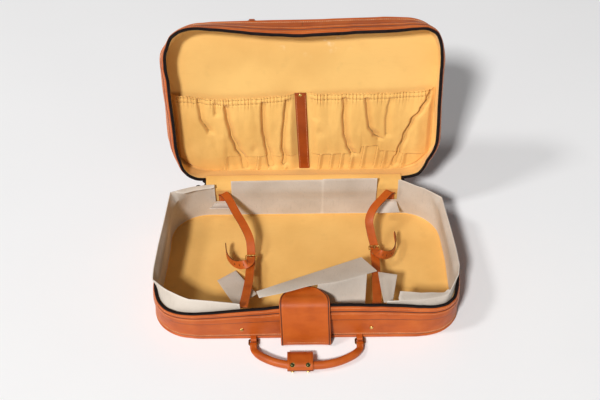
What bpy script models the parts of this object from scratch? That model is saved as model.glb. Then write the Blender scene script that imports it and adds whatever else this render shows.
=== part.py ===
"""A zip-round leather suitcase standing open, with card stiffeners, inner straps and gathered lid pockets.

The frame is +X right, +Y to the rear, +Z up, with the origin at the centre of the base's underside.
The lid's pieces are drawn as if the case were shut, and their carrier turns them open.
"""

import math
from dataclasses import dataclass

import bmesh
import bpy
from mathutils import Vector

# Body of the case
CASE_LENGTH = 0.580
CASE_DEPTH = 0.345
BASE_HEIGHT = 0.090
LID_HEIGHT = 0.060
CORNER_RADIUS = 0.090
RIM_INSET = 0.009
LID_OPEN_ANGLE = math.radians(101.0)
GAP = 0.0003
CORNER_STEPS = 6
SHARP_EDGE_ANGLE = math.radians(35.0)
BUTTON_SIDES = 12
CURVE_STEPS = 3
FOLD_STEPS = 2

# Panels, boards, linings and walls
PANEL_THICKNESS = 0.0030
BOARD_THICKNESS = 0.0026
LINING_THICKNESS = 0.0016
WELT_WIDTH = 0.0060
WELT_HEIGHT = 0.0076
WELT_ROUNDING = 0.0018
WALL_THICKNESS = 0.0026
WALL_STEP_BACK = 0.0012
BAND_THICKNESS = 0.0018
BAND_FOOT_THICKNESS = 0.0028
BASE_BAND_WIDTH = 0.0430
LID_BAND_WIDTH = 0.0300
BAND_STEP_DEPTH = 0.0200
ZIP_HEIGHT = 0.0040
ZIP_WIDTH = 0.0065
ZIP_END_SHARE = 0.36

# Card stiffeners
CARD_THICKNESS = 0.0016
CARD_CLEARANCE = 0.0006
CARD_ABOVE_RIM = 0.0160
CARD_EDGE_STEP = 0.0005
CARD_NOTCH_HEIGHT_SHARE = 0.5778
# Places along the straight front and rear, as shares of half its length
CARD_JOIN_SHARE = 0.200
LEFT_NOTCH_START_SHARE = -0.935
LEFT_NOTCH_END_SHARE = -0.760
RIGHT_NOTCH_START_SHARE = 0.810
RIGHT_NOTCH_END_SHARE = 0.9875
LEFT_CARD_FRONT_SHARE = -0.685
RIGHT_CARD_FRONT_SHARE = 0.750

# Zip sliders
SLIDER_LENGTH = 0.0090
SLIDER_CLEARANCE = 0.0003
SLIDER_OUTER = -0.0010
SLIDER_BELOW = 0.0036
SLIDER_ABOVE = 0.0020
PULL_THICKNESS = 0.0014
PULL_WIDTH = 0.0070
PULL_LENGTH = 0.0260
PULL_CLEARANCE = 0.0006

# Front flap
FLAP_WIDTH = 0.090
FLAP_THICKNESS = 0.0030
FLAP_TIP_THICKNESS = 0.0026
FLAP_TIP_LENGTH = 0.0450
FLAP_TIP_CORNER = 0.0220
FLAP_TIP_RISE = math.radians(6.0)
FLAP_FOOT_REACH = 0.0150
FLAP_FOOT_HEIGHT = 0.0030
FLAP_BULGE = 0.0178
FLAP_BULGE_HEIGHT = 0.0120
FLAP_WAIST = 0.0125
FLAP_WAIST_HEIGHT_SHARE = 0.467
FLAP_SHOULDER = 0.0040
FLAP_SHOULDER_HEIGHT_SHARE = 0.778
FLAP_TOP_OUT = -0.0042
FLAP_TIP_CLEARANCE = 0.0010

# Carrying handles
HANDLE_TUBE_RADIUS = 0.0077
HANDLE_END_X = 0.1010
HANDLE_REACH = 0.0660
HANDLE_LIFT = 0.0050
HANDLE_END_WIDTH = 0.0110
HANDLE_END_THICKNESS = 0.0024
BASE_PIVOT_OUT = 0.0075
BASE_PIVOT_HEIGHT = 0.0060
LID_PIVOT_IN = 0.0085
LID_PIVOT_ABOVE = 0.0060
LID_HANDLE_BACK_ANGLE = math.radians(169.0)
RING_WIRE_RADIUS = 0.00175
RING_LENGTH = 0.0120
RING_HALF_WIDTH = 0.0080
RING_CORNER = 0.0020
CHAPE_WIDTH = 0.0110
CHAPE_THICKNESS = 0.0020
LOOP_CLEARANCE = 0.0003
HANDLE_ROUTE_SHARES = (
    (1.00, 0.30, 0.0),
    (0.97, 0.46, 0.5),
    (0.84, 0.67, 1.0),
    (0.60, 0.865, 1.0),
    (0.35, 0.97, 1.0),
    (0.12, 1.00, 1.0),
)
HANDLE_TAPER_STEPS = 4

# Wrap on the base handle's grip
WRAP_LEFT_X = -0.0370
WRAP_RIGHT_X = 0.0110
WRAP_THICKNESS = 0.0022
WRAP_CLEARANCE = 0.0005
WRAP_REAR_REACH = 0.0315
WRAP_FOLD_RISE = -0.0015
WRAP_LOWER_SHARES = ((0.25, -0.86), (0.50, -1.00))
WRAP_UPPER_SHARES = ((0.25, 0.55), (0.50, 0.86))
WRAP_LOWER_END_ANGLE = math.radians(122.0)
WRAP_UPPER_END_ANGLE = math.radians(98.0)
SNAP_CAP_RADIUS = 0.0044
SNAP_STUD_RADIUS = 0.0034
SNAP_THICKNESS = 0.0016
SNAP_INSET = 0.0095
SNAP_CAP_ANGLE = math.radians(32.0)
SNAP_STUD_ANGLE = math.radians(132.0)

# Inner straps and buckles
STRAP_WIDTH = 0.0170
STRAP_THICKNESS = 0.0018
STRAP_STEPS = 3
TONGUE_SLOT_WIDTH = 0.0046
TONGUE_HOLE_LENGTH = 0.0120
TONGUE_HOLE_BEFORE = 0.0015
BUCKLE_WIRE_RADIUS = 0.0011
BUCKLE_LENGTH = 0.0130
BUCKLE_HALF_WIDTH = 0.0108
BUCKLE_CORNER = 0.0025
TONGUE_RADIUS = 0.0008
TONGUE_CURL_CLEARANCE = 0.0004
TONGUE_CURL_START = math.radians(-40.0)
TONGUE_CURL_END = math.radians(-200.0)
TONGUE_CURL_STEPS = 6
STRAP_FOLD_BACK = 0.0130
STRAP_CLEARANCE = 0.0005
STRAP_LEAD = 0.0080
RIVET_X_SHARE = 0.615
RIVET_HEIGHT_SHARE = 0.317
RIVET_RADIUS = 0.0032
RIVET_THICKNESS = 0.0014

# Buckles and the straps' routes, as shares of half the straight length, half the depth and the base's height
LEFT_BUCKLE_SHARES = (-0.5475, 0.0232, 0.3667)
RIGHT_BUCKLE_SHARES = (0.7101, 0.1391, 0.4000)
LEFT_FRONT_ROUTE_SHARES = (
    (-0.5945, -0.905, 0.800),
    (-0.5873, -0.800, 0.740),
    (-0.5742, -0.610, 0.610),
    (-0.5583, -0.360, 0.480),
)
RIGHT_FRONT_ROUTE_SHARES = (
    (0.6597, -0.905, 0.800),
    (0.6728, -0.770, 0.730),
    (0.6873, -0.520, 0.610),
    (0.7018, -0.240, 0.500),
)
STRAP_ANCHOR_HEIGHTS_SHARES = (0.640, 0.740)
TAIL_TWIST_SHARES = (0.0, 0.0, 0.20, 0.60, 0.90, 1.0, 1.0)
LEFT_REAR_ROUTE_SHARES = (
    (-0.8555, 0.895, 0.860),
    (-0.8265, 0.855, 0.910),
    (-0.7758, 0.760, 0.880),
    (-0.7061, 0.600, 0.790),
    (-0.6235, 0.430, 0.690),
    (-0.5626, 0.290, 0.520),
)
LEFT_TAIL_ROUTE_SHARES = (
    (-0.5524, -0.045, 0.455),
    (-0.5684, -0.095, 0.500),
    (-0.6119, -0.110, 0.490),
    (-0.6670, -0.080, 0.420),
    (-0.7322, 0.000, 0.340),
    (-0.7903, 0.120, 0.330),
    (-0.8120, 0.290, 0.360),
)
RIGHT_REAR_ROUTE_SHARES = (
    (0.9164, 0.895, 0.870),
    (0.8874, 0.855, 0.930),
    (0.8265, 0.760, 0.930),
    (0.7250, 0.620, 0.870),
    (0.6699, 0.490, 0.740),
    (0.6815, 0.380, 0.560),
)
RIGHT_TAIL_ROUTE_SHARES = (
    (0.7163, 0.075, 0.500),
    (0.7366, 0.025, 0.540),
    (0.7801, 0.012, 0.520),
    (0.8337, 0.045, 0.440),
    (0.8990, 0.140, 0.350),
    (0.9396, 0.290, 0.330),
    (0.9353, 0.450, 0.370),
)

# Loose card at the front: crease from left to right, then the edges that hang from it
CREASE_LEFT_SHARES = (-0.4597, -0.810, 1.000)
CREASE_RIGHT_SHARES = (0.6902, -0.440, 0.880)
STRIP_LEFT_SHARES = (-0.4481, -0.755, 0.995)
STRIP_RIGHT_SHARES = (0.5583, -0.115, 0.690)
CARD_HANG_START_SHARE = 0.42
CARD_HANG_END_SHARE = 0.90
CARD_HANG_FOOT_Y_SHARE = -0.880
CARD_HANG_SPREAD_SHARE = 0.012

# Lid pockets
POCKET_CLOTH = 0.0013
POCKET_FOOT = 0.0075
POCKET_HEIGHT = 0.1720
POCKET_SIDE_MARGIN = 0.0250
POCKET_STRAP_WIDTH = 0.0230
POCKET_STRAP_X = -0.0030
POCKET_STRAP_SLANT = 0.0070
POCKET_STRAP_OVERRUN = 0.0060
POCKET_STRAP_THICKNESS = 0.0020
POCKET_INNER_GAP = 0.0020
POCKET_STAND_OFF = 0.0070
POCKET_FOLD_DEPTH = 0.0050
POCKET_TUCK_HEIGHT = 0.0420
POCKET_RIVET_RADIUS = 0.0034
POCKET_RIVET_BELOW = 0.0060
POCKET_EDGE_RAMP = 0.0180
POCKET_COLUMNS = 34
POCKET_ROW_SHARES = (0.0, 0.03, 0.09, 0.18, 0.27, 0.40, 0.55, 0.72, 0.90, 1.0)
POCKET_CREASE_SHARE = 0.055
POCKET_MOUTH_SHARE = 0.25
LEFT_FOLD_SHARES = ((0.11, -0.02), (0.30, -0.06), (0.56, -0.12), (0.80, 0.02))
RIGHT_FOLD_SHARES = ((0.10, 0.02), (0.30, 0.06), (0.47, 0.04), (0.64, -0.02), (0.88, -0.22))

RIM_HEIGHT = BASE_HEIGHT
HALF_LENGTH = CASE_LENGTH / 2
HALF_DEPTH = CASE_DEPTH / 2
CORNER_X = HALF_LENGTH - CORNER_RADIUS
CORNER_Y = HALF_DEPTH - CORNER_RADIUS
FLOOR_TOP = PANEL_THICKNESS + BOARD_THICKNESS + LINING_THICKNESS + 2 * GAP
PANEL_EDGE = -(WELT_WIDTH + GAP)
WALL_FOOT = WELT_HEIGHT + GAP

TAN = (0.61, 0.17, 0.045)
TAN_DARK = (0.42, 0.11, 0.030)
YELLOW = (0.93, 0.56, 0.17)
CARD_GREY = (0.62, 0.53, 0.43)
ZIP_BLACK = (0.010, 0.008, 0.014)
BRASS = (0.62, 0.40, 0.10)
SNAP_BRONZE = (0.10, 0.09, 0.04)


@dataclass(frozen=True)
class Finish:
    colour: tuple
    roughness: float
    metallic: float = 0.0


LEATHER = Finish(TAN, 0.45)
LEATHER_DARK = Finish(TAN_DARK, 0.50)
LINING = Finish(YELLOW, 0.85)
GREYBOARD = Finish(CARD_GREY, 0.90)
ZIP = Finish(ZIP_BLACK, 0.60)
METAL = Finish(BRASS, 0.30, 1.0)
SNAP_METAL = Finish(SNAP_BRONZE, 0.35, 1.0)


@dataclass(frozen=True)
class Station:
    """A place on the case's outline seen from above, with the direction that points out of the case."""

    x: float
    y: float
    nx: float
    ny: float

    def at(self, out, height):
        return (self.x + self.nx * out, self.y + self.ny * out, height)

    def mirrored(self):
        return Station(-self.x, self.y, -self.nx, self.ny)


@dataclass
class Carrier:
    """An empty on a joint's axis, with the place where its pieces are drawn."""

    empty: object
    drawn: Vector


def clear_scene():
    for item in list(bpy.data.objects):
        bpy.data.objects.remove(item, do_unlink=True)


def finish_material(name, finish):
    material = bpy.data.materials.new(name + "_finish")
    material.use_nodes = True
    shader = material.node_tree.nodes["Principled BSDF"]
    shader.inputs["Base Color"].default_value = (*finish.colour, 1.0)
    shader.inputs["Roughness"].default_value = finish.roughness
    shader.inputs["Metallic"].default_value = finish.metallic
    return material


def carrier_at(name, place, parent=None, turn=0.0):
    """An empty at the place, given where its pieces are drawn, turned about the X axis."""
    empty = bpy.data.objects.new(name, None)
    bpy.context.scene.collection.objects.link(empty)
    drawn = Vector(place)
    if parent is None:
        empty.location = drawn
    else:
        empty.parent = parent.empty
        empty.location = drawn - parent.drawn
    empty.rotation_euler = (turn, 0.0, 0.0)
    return Carrier(empty, drawn)


def add_piece(name, shape, finish, carrier=None):
    """One closed piece made from vertices and faces, with its faces pointing out."""
    verts, faces = shape
    origin = carrier.drawn if carrier else Vector((0.0, 0.0, 0.0))
    mesh = bpy.data.meshes.new(name)
    mesh.from_pydata([Vector(v) - origin for v in verts], [], faces)
    build = bmesh.new()
    build.from_mesh(mesh)
    bmesh.ops.recalc_face_normals(build, faces=build.faces)
    build.to_mesh(mesh)
    build.free()
    mesh.shade_smooth()
    mesh.set_sharp_from_angle(angle=SHARP_EDGE_ANGLE)
    mesh.materials.append(finish_material(name, finish))
    piece = bpy.data.objects.new(name, mesh)
    bpy.context.scene.collection.objects.link(piece)
    if carrier:
        piece.parent = carrier.empty
    return piece


def arc_stations(start, end, steps, side, front):
    """Stations round one corner, from the start angle to the end angle."""
    centre_y = -CORNER_Y if front else CORNER_Y
    found = []
    for step in range(steps + 1):
        angle = start + (end - start) * step / steps
        nx = math.cos(angle)
        ny = math.sin(angle)
        x = CORNER_X + CORNER_RADIUS * nx
        found.append(Station(x, centre_y + CORNER_RADIUS * ny, nx, ny))
    if side < 0:
        return [station.mirrored() for station in found]
    return found


def right_side():
    """Stations from the front, round the right side, to the rear."""
    front = arc_stations(-math.pi / 2, 0.0, CORNER_STEPS, 1, True)
    return front + arc_stations(0.0, math.pi / 2, CORNER_STEPS, 1, False)


def mirrored(stations):
    return [station.mirrored() for station in reversed(stations)]


def whole_loop():
    right = right_side()
    return right + mirrored(right)


def half_loop(side):
    """Stations of one half, between the seams at the front and rear centre."""
    seam = GAP / 2
    stations = [Station(seam, -HALF_DEPTH, 0.0, -1.0)] + right_side()
    stations.append(Station(seam, HALF_DEPTH, 0.0, 1.0))
    if side < 0:
        return mirrored(stations)
    return stations


def part_way(first, second, share):
    """A station on the straight line between two others."""
    x = first.x + (second.x - first.x) * share
    y = first.y + (second.y - first.y) * share
    nx = first.nx + (second.nx - first.nx) * share
    return Station(x, y, nx, first.ny + (second.ny - first.ny) * share)


def zip_path():
    """Stations that the zip follows, open at the rear, where it ends part way along a corner's last step."""
    right = right_side()
    right[-1] = part_way(right[-1], right[-2], ZIP_END_SHARE)
    return mirrored(right) + right


def swept(stations, section, closed):
    """A section of (out, height) points carried along the stations."""
    verts = []
    for number, station in enumerate(stations):
        verts.extend(station.at(out, height) for out, height in section(number, station))
    rows = len(stations)
    size = len(verts) // rows
    faces = []
    for row in range(rows if closed else rows - 1):
        after = (row + 1) % rows
        for corner in range(size):
            other = (corner + 1) % size
            first = row * size
            second = after * size
            faces.append((first + corner, first + other, second + other, second + corner))
    if not closed:
        faces.append(tuple(range(size)))
        faces.append(tuple(range((rows - 1) * size, rows * size)))
    return verts, faces


def plate(out, low, high):
    """A flat plate with the case's outline, moved out by the given distance."""
    loop = whole_loop()
    count = len(loop)
    verts = [station.at(out, low) for station in loop] + [station.at(out, high) for station in loop]
    faces = [tuple(range(count)), tuple(range(count, 2 * count))]
    for number in range(count):
        after = (number + 1) % count
        faces.append((number, after, count + after, count + number))
    return verts, faces


def box_shape(low, high):
    verts = [(x, y, z) for z in (low[2], high[2]) for y in (low[1], high[1]) for x in (low[0], high[0])]
    faces = [(0, 1, 3, 2), (4, 5, 7, 6), (0, 1, 5, 4), (2, 3, 7, 6), (0, 2, 6, 4), (1, 3, 7, 5)]
    return verts, faces


def carried(path, across, outline):
    """An outline of (across, normal) points carried along a path, with closed ends."""
    verts = []
    count = len(path)
    for number, point in enumerate(path):
        before = path[max(number - 1, 0)]
        after = path[min(number + 1, count - 1)]
        along = (after - before).normalized()
        side = across[number]
        side = (side - along * side.dot(along)).normalized()
        normal = along.cross(side)
        verts.extend(point + side * a + normal * b for a, b in outline(number))
    size = len(verts) // count
    faces = [tuple(range(size)), tuple(range((count - 1) * size, count * size))]
    for row in range(count - 1):
        for corner in range(size):
            other = (corner + 1) % size
            first = row * size
            second = first + size
            faces.append((first + corner, first + other, second + other, second + corner))
    return verts, faces


def closed_tube(path, radius, sides, up):
    """A wire that runs round a flat closed path."""
    verts = []
    count = len(path)
    for number, point in enumerate(path):
        along = (path[(number + 1) % count] - path[number - 1]).normalized()
        side = along.cross(up).normalized()
        for step in range(sides):
            angle = 2 * math.pi * step / sides
            verts.append(point + side * radius * math.cos(angle) + up * radius * math.sin(angle))
    faces = []
    for row in range(count):
        after = (row + 1) % count
        for corner in range(sides):
            other = (corner + 1) % sides
            first = row * sides
            second = after * sides
            faces.append((first + corner, first + other, second + other, second + corner))
    return verts, faces


def strap_profile(path, thickness, left, right):
    """A strip bent along a path of (y, z) points, running from left to right."""
    front = []
    back = []
    count = len(path)
    for number, (y, z) in enumerate(path):
        before = path[max(number - 1, 0)]
        after = path[min(number + 1, count - 1)]
        along = Vector((after[0] - before[0], after[1] - before[1])).normalized()
        normal = Vector((-along.y, along.x)) * (thickness / 2)
        front.append((y + normal.x, z + normal.y))
        back.append((y - normal.x, z - normal.y))
    size = 2 * count
    outline = front + back[::-1]
    verts = [(left, y, z) for y, z in outline] + [(right, y, z) for y, z in outline]
    faces = []
    for number in range(count - 1):
        pair = (number, number + 1, size - 2 - number, size - 1 - number)
        faces.append(pair)
        faces.append(tuple(size + corner for corner in pair))
    for number in range(size):
        after = (number + 1) % size
        faces.append((number, after, size + after, size + number))
    return verts, faces


def arc_points(centre_y, centre_z, radius, start, end, steps):
    """(y, z) points round an arc, with angles measured from the top towards the front."""
    points = []
    for step in range(steps + 1):
        angle = start + (end - start) * step / steps
        points.append((centre_y - radius * math.sin(angle), centre_z + radius * math.cos(angle)))
    return points


def smooth_path(points, steps):
    """A smooth curve through the points."""
    padded = [points[0] * 2 - points[1]] + list(points) + [points[-1] * 2 - points[-2]]
    found = []
    for number in range(len(points) - 1):
        a, b, c, d = padded[number : number + 4]
        for step in range(steps):
            t = step / steps
            cubic = (b * 3 - a - c * 3 + d) * t**3
            square = (a * 2 - b * 5 + c * 4 - d) * t**2
            found.append((b * 2 + (c - a) * t + square + cubic) / 2)
    found.append(points[-1])
    return found


def case_points(shares):
    """Places given as shares of half the straight length, half the depth and the base's height."""
    return [Vector((a * CORNER_X, b * HALF_DEPTH, c * BASE_HEIGHT)) for a, b, c in shares]


def disc(centre, normal, radius, thickness, sides):
    """A button with a chamfered face, standing on its centre point."""
    normal = Vector(normal).normalized()
    side = normal.cross(Vector((1.0, 0.0, 0.0))).normalized()
    other = normal.cross(side)
    chamfer = thickness / 3
    rows = ((0.0, radius), (thickness - chamfer, radius), (thickness, radius - chamfer))
    verts = []
    for height, size in rows:
        for step in range(sides):
            angle = 2 * math.pi * step / sides
            spoke = side * math.cos(angle) + other * math.sin(angle)
            verts.append(Vector(centre) + normal * height + spoke * size)
    faces = [tuple(range(sides)), tuple(range(2 * sides, 3 * sides))]
    for row in range(2):
        for corner in range(sides):
            after = (corner + 1) % sides
            first = row * sides
            second = first + sides
            faces.append((first + corner, first + after, second + after, second + corner))
    return verts, faces


@dataclass(frozen=True)
class Half:
    """The base or the lid. Rises are measured from its panel's outer face towards the rim."""

    prefix: str
    height: float
    band_width: float
    carrier: object

    def level(self, rise):
        if self.prefix == "base":
            return rise
        return RIM_HEIGHT + LID_HEIGHT - rise

    def wall_out(self, rise):
        """How far out the wall's outer face stands at a rise."""
        share = (rise - WALL_FOOT) / (self.height - WALL_FOOT)
        return -WALL_STEP_BACK - (RIM_INSET - WALL_STEP_BACK) * share

    def section(self, points):
        return [(out, self.level(rise)) for out, rise in points]

    @property
    def rim(self):
        return self.height - GAP / 2

    @property
    def wall_top(self):
        return self.rim - ZIP_HEIGHT - GAP

    def add(self, name, shape, finish):
        return add_piece(name, shape, finish, self.carrier)

    def build(self):
        self.build_floor()
        self.build_walls()
        self.build_rim()

    def build_floor(self):
        level = self.level
        panel_name = self.prefix + "_panel"
        self.add(panel_name, plate(PANEL_EDGE, level(0.0), level(PANEL_THICKNESS)), LEATHER)
        board = PANEL_THICKNESS + GAP
        board_top = board + BOARD_THICKNESS
        board_name = "base_floor_board" if self.prefix == "base" else "lid_board"
        self.add(board_name, plate(PANEL_EDGE, level(board), level(board_top)), GREYBOARD)
        lining = plate(PANEL_EDGE, level(board_top + GAP), level(FLOOR_TOP))
        lining_name = "base_floor_lining" if self.prefix == "base" else "lid_panel_lining"
        self.add(lining_name, lining, LINING)
        bead = self.section(
            (
                (-WELT_WIDTH, 0.0),
                (-WELT_ROUNDING, 0.0),
                (0.0, WELT_ROUNDING),
                (0.0, WELT_HEIGHT - WELT_ROUNDING),
                (-WELT_ROUNDING, WELT_HEIGHT),
                (-WELT_WIDTH, WELT_HEIGHT),
            )
        )
        self.add(self.prefix + "_welt", swept(whole_loop(), lambda n, s: bead, True), LEATHER)

    def build_walls(self):
        foot = WALL_FOOT
        top = self.wall_top
        leather = self.section(
            (
                (self.wall_out(foot), foot),
                (self.wall_out(top), top),
                (self.wall_out(top) - WALL_THICKNESS, top),
                (self.wall_out(foot) - WALL_THICKNESS, foot),
            )
        )
        for side, label in ((-1, "left"), (1, "right")):
            shape = swept(half_loop(side), lambda n, s: leather, False)
            self.add(f"{self.prefix}_wall_{label}", shape, LEATHER)
        inside = WALL_THICKNESS + GAP
        low = FLOOR_TOP + GAP
        high = top - GAP
        cloth = self.section(
            (
                (self.wall_out(low) - inside, low),
                (self.wall_out(high) - inside, high),
                (self.wall_out(high) - inside - LINING_THICKNESS, high),
                (self.wall_out(low) - inside - LINING_THICKNESS, low),
            )
        )
        lining = swept(whole_loop(), lambda n, s: cloth, True)
        self.add(self.prefix + "_wall_lining", lining, LINING)

    def band_face(self, rise, thickness):
        return self.wall_out(rise) + GAP + thickness

    def build_rim(self):
        top = self.wall_top - GAP
        step = self.height - BAND_STEP_DEPTH
        slope = BAND_FOOT_THICKNESS - BAND_THICKNESS
        foot = self.height - self.band_width
        leather = self.section(
            (
                (self.band_face(foot, 0.0), foot),
                (self.band_face(top, 0.0), top),
                (self.band_face(top, BAND_THICKNESS), top),
                (self.band_face(step, BAND_THICKNESS), step),
                (self.band_face(step - slope, BAND_FOOT_THICKNESS), step - slope),
                (self.band_face(foot + slope, BAND_FOOT_THICKNESS), foot + slope),
                (self.band_face(foot, BAND_THICKNESS), foot),
            )
        )
        band = swept(zip_path(), lambda n, s: leather, False)
        self.add(self.prefix + "_rim_band", band, LEATHER)
        outer = self.band_face(self.rim, BAND_THICKNESS)
        teeth = self.section(
            (
                (outer, self.rim - ZIP_HEIGHT),
                (outer, self.rim),
                (outer - ZIP_WIDTH, self.rim),
                (outer - ZIP_WIDTH, self.rim - ZIP_HEIGHT),
            )
        )
        chain = swept(zip_path(), lambda n, s: teeth, False)
        self.add("zip_chain_" + self.prefix, chain, ZIP)
        flange = self.rim - BAND_THICKNESS
        hinge = self.section(
            (
                (self.band_face(foot, 0.0), foot),
                (self.band_face(self.rim, 0.0), self.rim),
                (-GAP / 2, self.rim),
                (-GAP / 2, flange),
                (self.band_face(flange, BAND_THICKNESS), flange),
                (self.band_face(foot, BAND_THICKNESS), foot),
            )
        )
        end = CORNER_X
        ends = [Station(end, HALF_DEPTH, 0.0, 1.0), Station(-end, HALF_DEPTH, 0.0, 1.0)]
        self.add("hinge_leather_" + self.prefix, swept(ends, lambda n, s: hinge, False), LEATHER)


def card_out(half, height):
    """The outer face of the card stiffeners, which lean with the wall."""
    return half.wall_out(height) - WALL_THICKNESS - GAP - LINING_THICKNESS - CARD_CLEARANCE


def card_stations(marks, rear_side):
    """Stations along the rear, with a pair of close stations at each mark where the top steps."""
    found = []
    for share, top_before, top_after in marks:
        x = share * CORNER_X
        near = CARD_EDGE_STEP / 2 * rear_side
        found.append((Station(x - near, HALF_DEPTH, 0.0, 1.0), top_before))
        found.append((Station(x + near, HALF_DEPTH, 0.0, 1.0), top_after))
    return found


def build_card_collars(base):
    foot = FLOOR_TOP + GAP
    high = BASE_HEIGHT + CARD_ABOVE_RIM
    low = CARD_NOTCH_HEIGHT_SHARE * BASE_HEIGHT
    right = [(Station(RIGHT_CARD_FRONT_SHARE * CORNER_X, -HALF_DEPTH, 0.0, -1.0), high)]
    right += [(station, high) for station in right_side()[:-1]]
    right_marks = ((RIGHT_NOTCH_END_SHARE, high, low), (RIGHT_NOTCH_START_SHARE, low, high))
    left = [(Station(LEFT_CARD_FRONT_SHARE * CORNER_X, -HALF_DEPTH, 0.0, -1.0), high)]
    left += [(station.mirrored(), high) for station in right_side()]
    left_marks = ((LEFT_NOTCH_START_SHARE, high, low), (LEFT_NOTCH_END_SHARE, low, high))
    right += [(Station(CORNER_X, HALF_DEPTH, 0.0, 1.0), high)]
    right += card_stations(right_marks, -1)
    join = CARD_JOIN_SHARE * CORNER_X
    right.append((Station(join + GAP, HALF_DEPTH, 0.0, 1.0), high))
    left += card_stations(left_marks, 1)
    left.append((Station(join, HALF_DEPTH, 0.0, 1.0), high))
    for label, places in (("left", left), ("right", right)):
        tops = [top for _, top in places]

        def section(number, station):
            points = [(card_out(base, height), height) for height in (foot, tops[number])]
            return points + [(out - CARD_THICKNESS, height) for out, height in reversed(points)]

        shape = swept([station for station, _ in places], section, False)
        add_piece("card_collar_" + label, shape, GREYBOARD)


def build_front_card():
    """The creased card: a strip folded in along the crease, and the piece that hangs from it."""
    crease_left, crease_right, strip_left, strip_right = case_points(
        (CREASE_LEFT_SHARES, CREASE_RIGHT_SHARES, STRIP_LEFT_SHARES, STRIP_RIGHT_SHARES)
    )
    start = crease_left.lerp(crease_right, CARD_HANG_START_SHARE)
    end = crease_left.lerp(crease_right, CARD_HANG_END_SHARE)
    strip_start = strip_left.lerp(strip_right, CARD_HANG_START_SHARE)
    strip_end = strip_left.lerp(strip_right, CARD_HANG_END_SHARE)
    foot_y = CARD_HANG_FOOT_Y_SHARE * HALF_DEPTH
    normal = (end - start).cross(Vector((start.x, foot_y, FLOOR_TOP)) - start).normalized()
    foot_z = FLOOR_TOP + GAP + CARD_THICKNESS / 2 * abs(normal.z)
    spread = CARD_HANG_SPREAD_SHARE * CASE_LENGTH
    foot_start = Vector((start.x - spread, foot_y, foot_z))
    foot_end = Vector((end.x - spread, foot_y, foot_z))
    verts = [crease_left, start, end, crease_right]
    verts += [strip_left, strip_start, strip_end, strip_right, foot_start, foot_end]
    faces = [(0, 1, 5, 4), (1, 2, 6, 5), (2, 3, 7, 6), (1, 8, 9, 2)]
    piece = add_piece("card_front_piece", (verts, faces), GREYBOARD)
    sheet = piece.modifiers.new("card", "SOLIDIFY")
    sheet.thickness = CARD_THICKNESS
    sheet.offset = 0.0


def build_flap(tip):
    left = -FLAP_WIDTH / 2
    right = FLAP_WIDTH / 2
    front = -HALF_DEPTH
    root = [(front - 2 * GAP, FLAP_FOOT_HEIGHT), (front - FLAP_FOOT_REACH, FLAP_FOOT_HEIGHT)]
    add_piece("flap_root", strap_profile(root, FLAP_THICKNESS, left, right), LEATHER)
    fold = front - FLAP_FOOT_REACH - GAP
    hinge = carrier_at("flap_swing_axis", (0.0, fold, FLAP_FOOT_HEIGHT))
    route = [
        Vector((fold - FLAP_THICKNESS / 2, FLAP_FOOT_HEIGHT, 0.0)),
        Vector((front - FLAP_BULGE, FLAP_BULGE_HEIGHT, 0.0)),
        Vector((front - FLAP_WAIST, FLAP_WAIST_HEIGHT_SHARE * BASE_HEIGHT, 0.0)),
        Vector((front - FLAP_SHOULDER, FLAP_SHOULDER_HEIGHT_SHARE * BASE_HEIGHT, 0.0)),
        Vector((front - FLAP_TOP_OUT, RIM_HEIGHT, 0.0)),
    ]
    path = [(point.x, point.y) for point in smooth_path(route, CURVE_STEPS)]
    add_piece("flap_lower", strap_profile(path, FLAP_THICKNESS, left, right), LEATHER, hinge)
    outline = [(left, 0.0), (left, FLAP_TIP_LENGTH - FLAP_TIP_CORNER)]
    for step in range(1, 6):
        angle = math.pi / 2 * step / 5
        across = left + FLAP_TIP_CORNER * (1 - math.cos(angle))
        outline.append((across, FLAP_TIP_LENGTH - FLAP_TIP_CORNER * (1 - math.sin(angle))))
    outline += [(-across, along) for across, along in reversed(outline)]
    half = FLAP_TIP_THICKNESS / 2
    verts = []
    for height in (-half, half):
        for across, along in outline:
            y = tip.drawn.y + along * math.cos(FLAP_TIP_RISE) - height * math.sin(FLAP_TIP_RISE)
            z = tip.drawn.z + along * math.sin(FLAP_TIP_RISE) + height * math.cos(FLAP_TIP_RISE)
            verts.append((across, y, z))
    count = len(outline)
    faces = [tuple(range(count)), tuple(range(count, 2 * count))]
    for number in range(count):
        after = (number + 1) % count
        faces.append((number, after, count + after, count + number))
    tip.empty.parent = hinge.empty
    tip.empty.location = tip.drawn - hinge.drawn
    add_piece("flap_tip", (verts, faces), LEATHER, tip)


def loop_path(reach_y, bar_y, bar_z, radius, lower_y, toward):
    """A strap's path round a bar: out along one side, round it, and back along the other."""
    path = [(reach_y, bar_z + radius)]
    turn = arc_points(0.0, 0.0, radius, 0.0, math.pi, 6)
    path += [(bar_y + toward * y, bar_z + z) for y, z in turn]
    path.append((lower_y, bar_z - radius))
    return path


def ring_path(centre_x, near_y, far_y, height):
    """A rectangle with rounded corners, in the plane of a ring."""
    corners = (
        (centre_x + RING_HALF_WIDTH, near_y, 1, 1),
        (centre_x - RING_HALF_WIDTH, near_y, -1, 1),
        (centre_x - RING_HALF_WIDTH, far_y, -1, -1),
        (centre_x + RING_HALF_WIDTH, far_y, 1, -1),
    )
    return rounded_corners(corners, RING_CORNER, height)


def rounded_corners(corners, radius, height):
    path = []
    for number, (x, y, sx, sy) in enumerate(corners):
        start = math.pi / 2 * number
        for step in range(3):
            angle = start + math.pi / 4 * step
            inner_x = x - sx * radius
            inner_y = y - sy * radius
            spoke = Vector((math.cos(angle), math.sin(angle), 0.0)) * radius
            path.append(Vector((inner_x, inner_y, height)) + spoke)
    return path


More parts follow.
